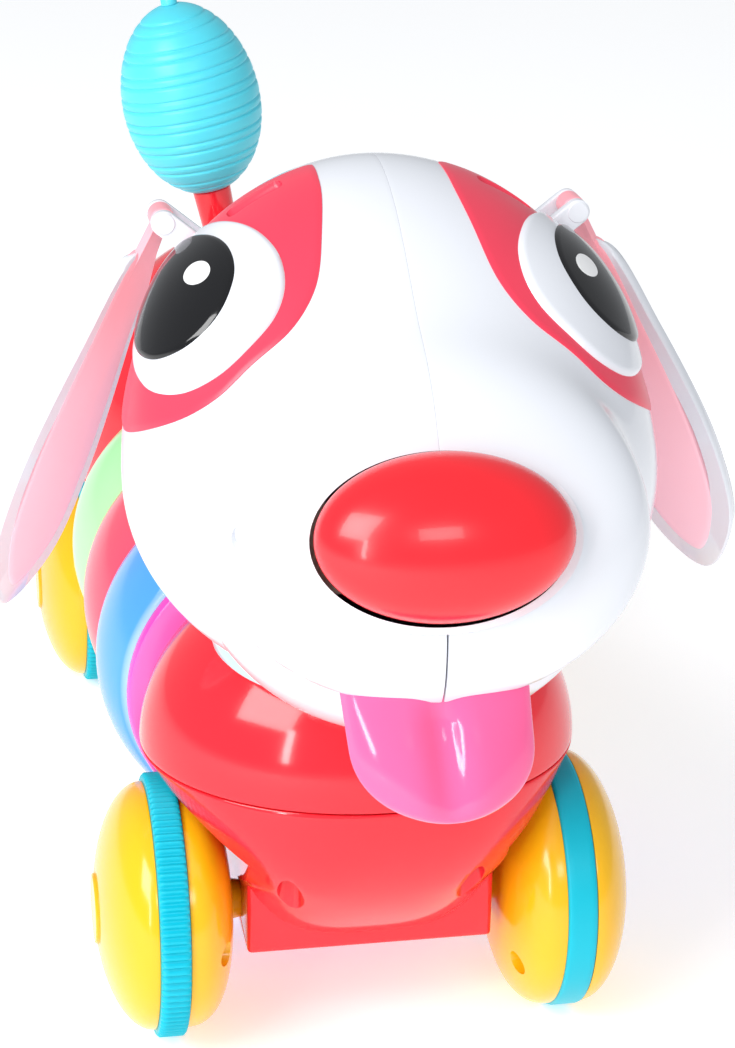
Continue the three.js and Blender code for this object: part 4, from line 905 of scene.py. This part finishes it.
def ear_rows(margin, profile):
    """Rows across an ear: each profile entry is (share of the way to the rim, distance out)."""
    rim = ear_outline(margin)
    middle = np.array([-3.2, -62.0])
    if margin:
        for axis, share in ((0, 0.84), (1, 0.94)):  # more of the shell shows at its front and its tip
            squeezed = middle[axis] + (rim[:, axis] - middle[axis]) * share
            rim[:, axis] = np.where(rim[:, axis] < middle[axis], squeezed, rim[:, axis])
    rows = []
    for share, out in profile:
        place = middle + (rim - middle) * share
        rows.append(np.stack([np.full(len(rim), out), place[:, 0], place[:, 1]], axis=1))
    return grid(rows)


def in_ear_frame(shell, side):
    """A shell made round the hinge, x pointing out, turned as an ear hangs and moved to its place."""
    turn = rotation(EAR["flare"], "Y") @ rotation(EAR["turn"], "Z")
    points, faces = moved(shell, turn=turn)
    return points * (side, 1, 1) + EAR_HINGE * (side, 1, 1), faces


def ear_shell(side, name):
    """A domed flap with a rounded rim and a hollow for the pad, cut away round the hinge."""
    thick, thin, hollow = EAR["thickness"], 2.4, 2.2
    dome = [(share, thin + (thick - thin) * (1 - share**6)) for share in np.linspace(0, 0.97, 26)]
    rim = [(0.99, 1.6), (1, 0.9), (0.994, 0.3), (0.98, 0.0)]
    inside = [(0.72, 0.0), (0.7, hollow), (0.5, hollow), (0, hollow)]
    shell = build(name, in_ear_frame(ear_rows(0, [*dome, *rim, *inside]), side))
    room = moved(block((-12, -7.5, -6.3), (4.5, 7.5, 12)), EAR_HINGE * (side, 1, 1), scale=(side, 1, 1))
    return cut(shell, build("hinge_room", room))


def ear_pad(side, name):
    """The pad in the ear's hollow, and the neck and knuckle that it hangs on."""
    face = [(share, -0.9 * (1 - share**2) - 0.3) for share in np.linspace(0, 0.95, 20)]
    rim = [(0.985, -0.15), (1, 0.3), (1, 2.0), (0.5, 2.0), (0, 2.0)]
    pad = in_ear_frame(ear_rows(EAR["margin"], [*face, *rim]), side)
    rows = []
    for half, x, z in ((0, -0.5, -24), (6.5, -0.5, -24), (3.2, -0.5, -9), (2.2, -1, 0), (0, -1, 0)):
        rows.append([(x, -half, z), (x, half, z), (x + 2, half, z), (x + 2, -half, z)])
    neck = in_ear_frame(grid(rows), side)
    start = EAR_HINGE * (side, 1, 1) - (0, KNUCKLE_HALF, 0)
    knuckle = rod(KNUCKLE_RADIUS, 2 * KNUCKLE_HALF, "y", start, 48, 0.4)
    return build(name, pad), build(name + "_knuckle", neck, knuckle)


for side, name in ((-1, "right"), (1, "left")):
    show(ear_shell(side, name + "_ear_outer"), WHITE, name + "_ear", name + "_ear_shell")
    pad, knuckle = ear_pad(side, name + "_ear_inner")
    show(pad, EAR_PINK, name + "_ear", name + "_ear_pad")
    show(knuckle, EAR_PINK, name + "_ear")


# ---- Tail --------------------------------------------------------------------------------------------
def on_tail(shell):
    """A shell made upright on the tail's hinge, leaned and moved to its place."""
    return moved(shell, TAIL_HINGE, rotation(TAIL["lean"], "Y"))


def ball_outline():
    """An egg with raised bands between pairs of narrow grooves, and a nub on top."""
    half, radius = TAIL["height"] / 2, TAIL["radius"]
    bottom, foot, bore = TAIL["stalk"] + GAP, 7.3, 3.3
    band, depth, width = 0.235, 0.55, 0.42  # a band's height as a share of half, a groove's depth and width
    low = -math.sqrt(1 - (foot / radius) ** 2)
    centre = bottom - low * half
    points = [(bore, bottom)]
    for angle in np.linspace(math.asin(low), 1.46, 260):
        t = math.sin(angle)
        phase = ((t + 0.93) / band) % 1
        offsets = [(phase - place) * band * half for place in (0.24, 0.62)]
        groove = sum(depth * math.exp(-((offset / width) ** 2)) for offset in offsets)
        shape = radius * math.sqrt(1 - t * t) * (1 - 0.03 * t)
        points.append((shape - groove * (abs(t) < 0.95), centre + t * half))
    top = centre + half
    nub = [(2.6, top - 0.1), (2.5, top + 1.5), (2, top + 2.2), (0, top + 2.45)]
    return [*points, *nub, (0, bottom + 15), (bore, bottom + 15)]


stalk = [(0, 0), (5.2, 0), (6.2, TAIL["stalk"] - 0.6), (5.7, TAIL["stalk"]), (3, TAIL["stalk"]),
         (3, TAIL["stalk"] + 14), (0, TAIL["stalk"] + 14)]
barrel = rod(6, 12, "y", TAIL_HINGE - (0, 6, 0), 48, 0.5)
tail_stalk = build("tail_stem", on_tail(turned(stalk, 48, closed=False)), barrel)
show(tail_stalk, CORAL, "tail", "tail_stalk")
show(build("tail_egg", on_tail(turned(ball_outline(), 128))), BALL_BLUE, "tail", "tail_ball")


# ---- Studio ------------------------------------------------------------------------------------------
def area_light(name, place, target, size, power):
    lamp = bpy.data.lights.new(name, "AREA")
    lamp.shape = "RECTANGLE"
    lamp.size, lamp.size_y = size
    lamp.energy = power
    holder = bpy.data.objects.new(name, lamp)
    holder.location = place
    holder.rotation_euler = (Vector(place) - Vector(target)).to_track_quat("Z", "Y").to_euler()
    bpy.context.scene.collection.objects.link(holder)


FLOOR_HALF = 8
floor_mesh = bpy.data.meshes.new("floor")
corners = [(x * FLOOR_HALF, y * FLOOR_HALF, 0) for x, y in ((-1, -1), (1, -1), (1, 1), (-1, 1))]
floor_mesh.from_pydata(corners, [], [(0, 1, 2, 3)])
floor = bpy.data.objects.new("floor", floor_mesh)
floor.data.materials.append(plastic("floor_white", (0.96, 0.96, 0.96), 0.7, variation=0.002, glow=0.42))
bpy.context.scene.collection.objects.link(floor)

world = bpy.data.worlds.new("studio")
world.use_nodes = True
world.node_tree.nodes["Background"].inputs["Color"].default_value = (0.93, 0.96, 1.0, 1)
world.node_tree.nodes["Background"].inputs["Strength"].default_value = 0.5
bpy.context.scene.world = world
area_light("key", (-1.0, -0.78, 1.02), (0, -0.05, 0.14), (0.85, 0.75), 18)
area_light("side", (-0.66, -0.94, 0.36), (0, -0.09, 0.12), (0.07, 0.4), 1.6)
area_light("front", (0.1, -1.4, 0.9), (0, -0.05, 0.1), (0.5, 0.3), 3)

# The camera: 36 mm of sensor over the picture's height, a place in metres, and a slight roll.
CAMERA_PLACE = Vector((-0.1136, -0.5921 + FRONT_AXLE.y, 0.3737))
FOCAL_LENGTH = 89.31298
YAW, PITCH, ROLL = (math.radians(degrees) for degrees in (-10.88, 21.40, 1.18))
camera_data = bpy.data.cameras.new("camera")
camera_data.sensor_width = 36
camera_data.lens = FOCAL_LENGTH
camera = bpy.data.objects.new("camera", camera_data)
back = Vector((math.sin(YAW) * math.cos(PITCH), -math.cos(YAW) * math.cos(PITCH), math.sin(PITCH)))
level = Vector((0, 0, 1)).cross(back).normalized()
upward = back.cross(level)
right = math.cos(ROLL) * level + math.sin(ROLL) * upward
up = -math.sin(ROLL) * level + math.cos(ROLL) * upward
turn = Matrix((right, up, back)).transposed().to_4x4()
camera.matrix_world = Matrix.Translation(CAMERA_PLACE) @ turn
bpy.context.scene.collection.objects.link(camera)
bpy.context.scene.camera = camera
bpy.context.scene.view_settings.view_transform = "Standard"
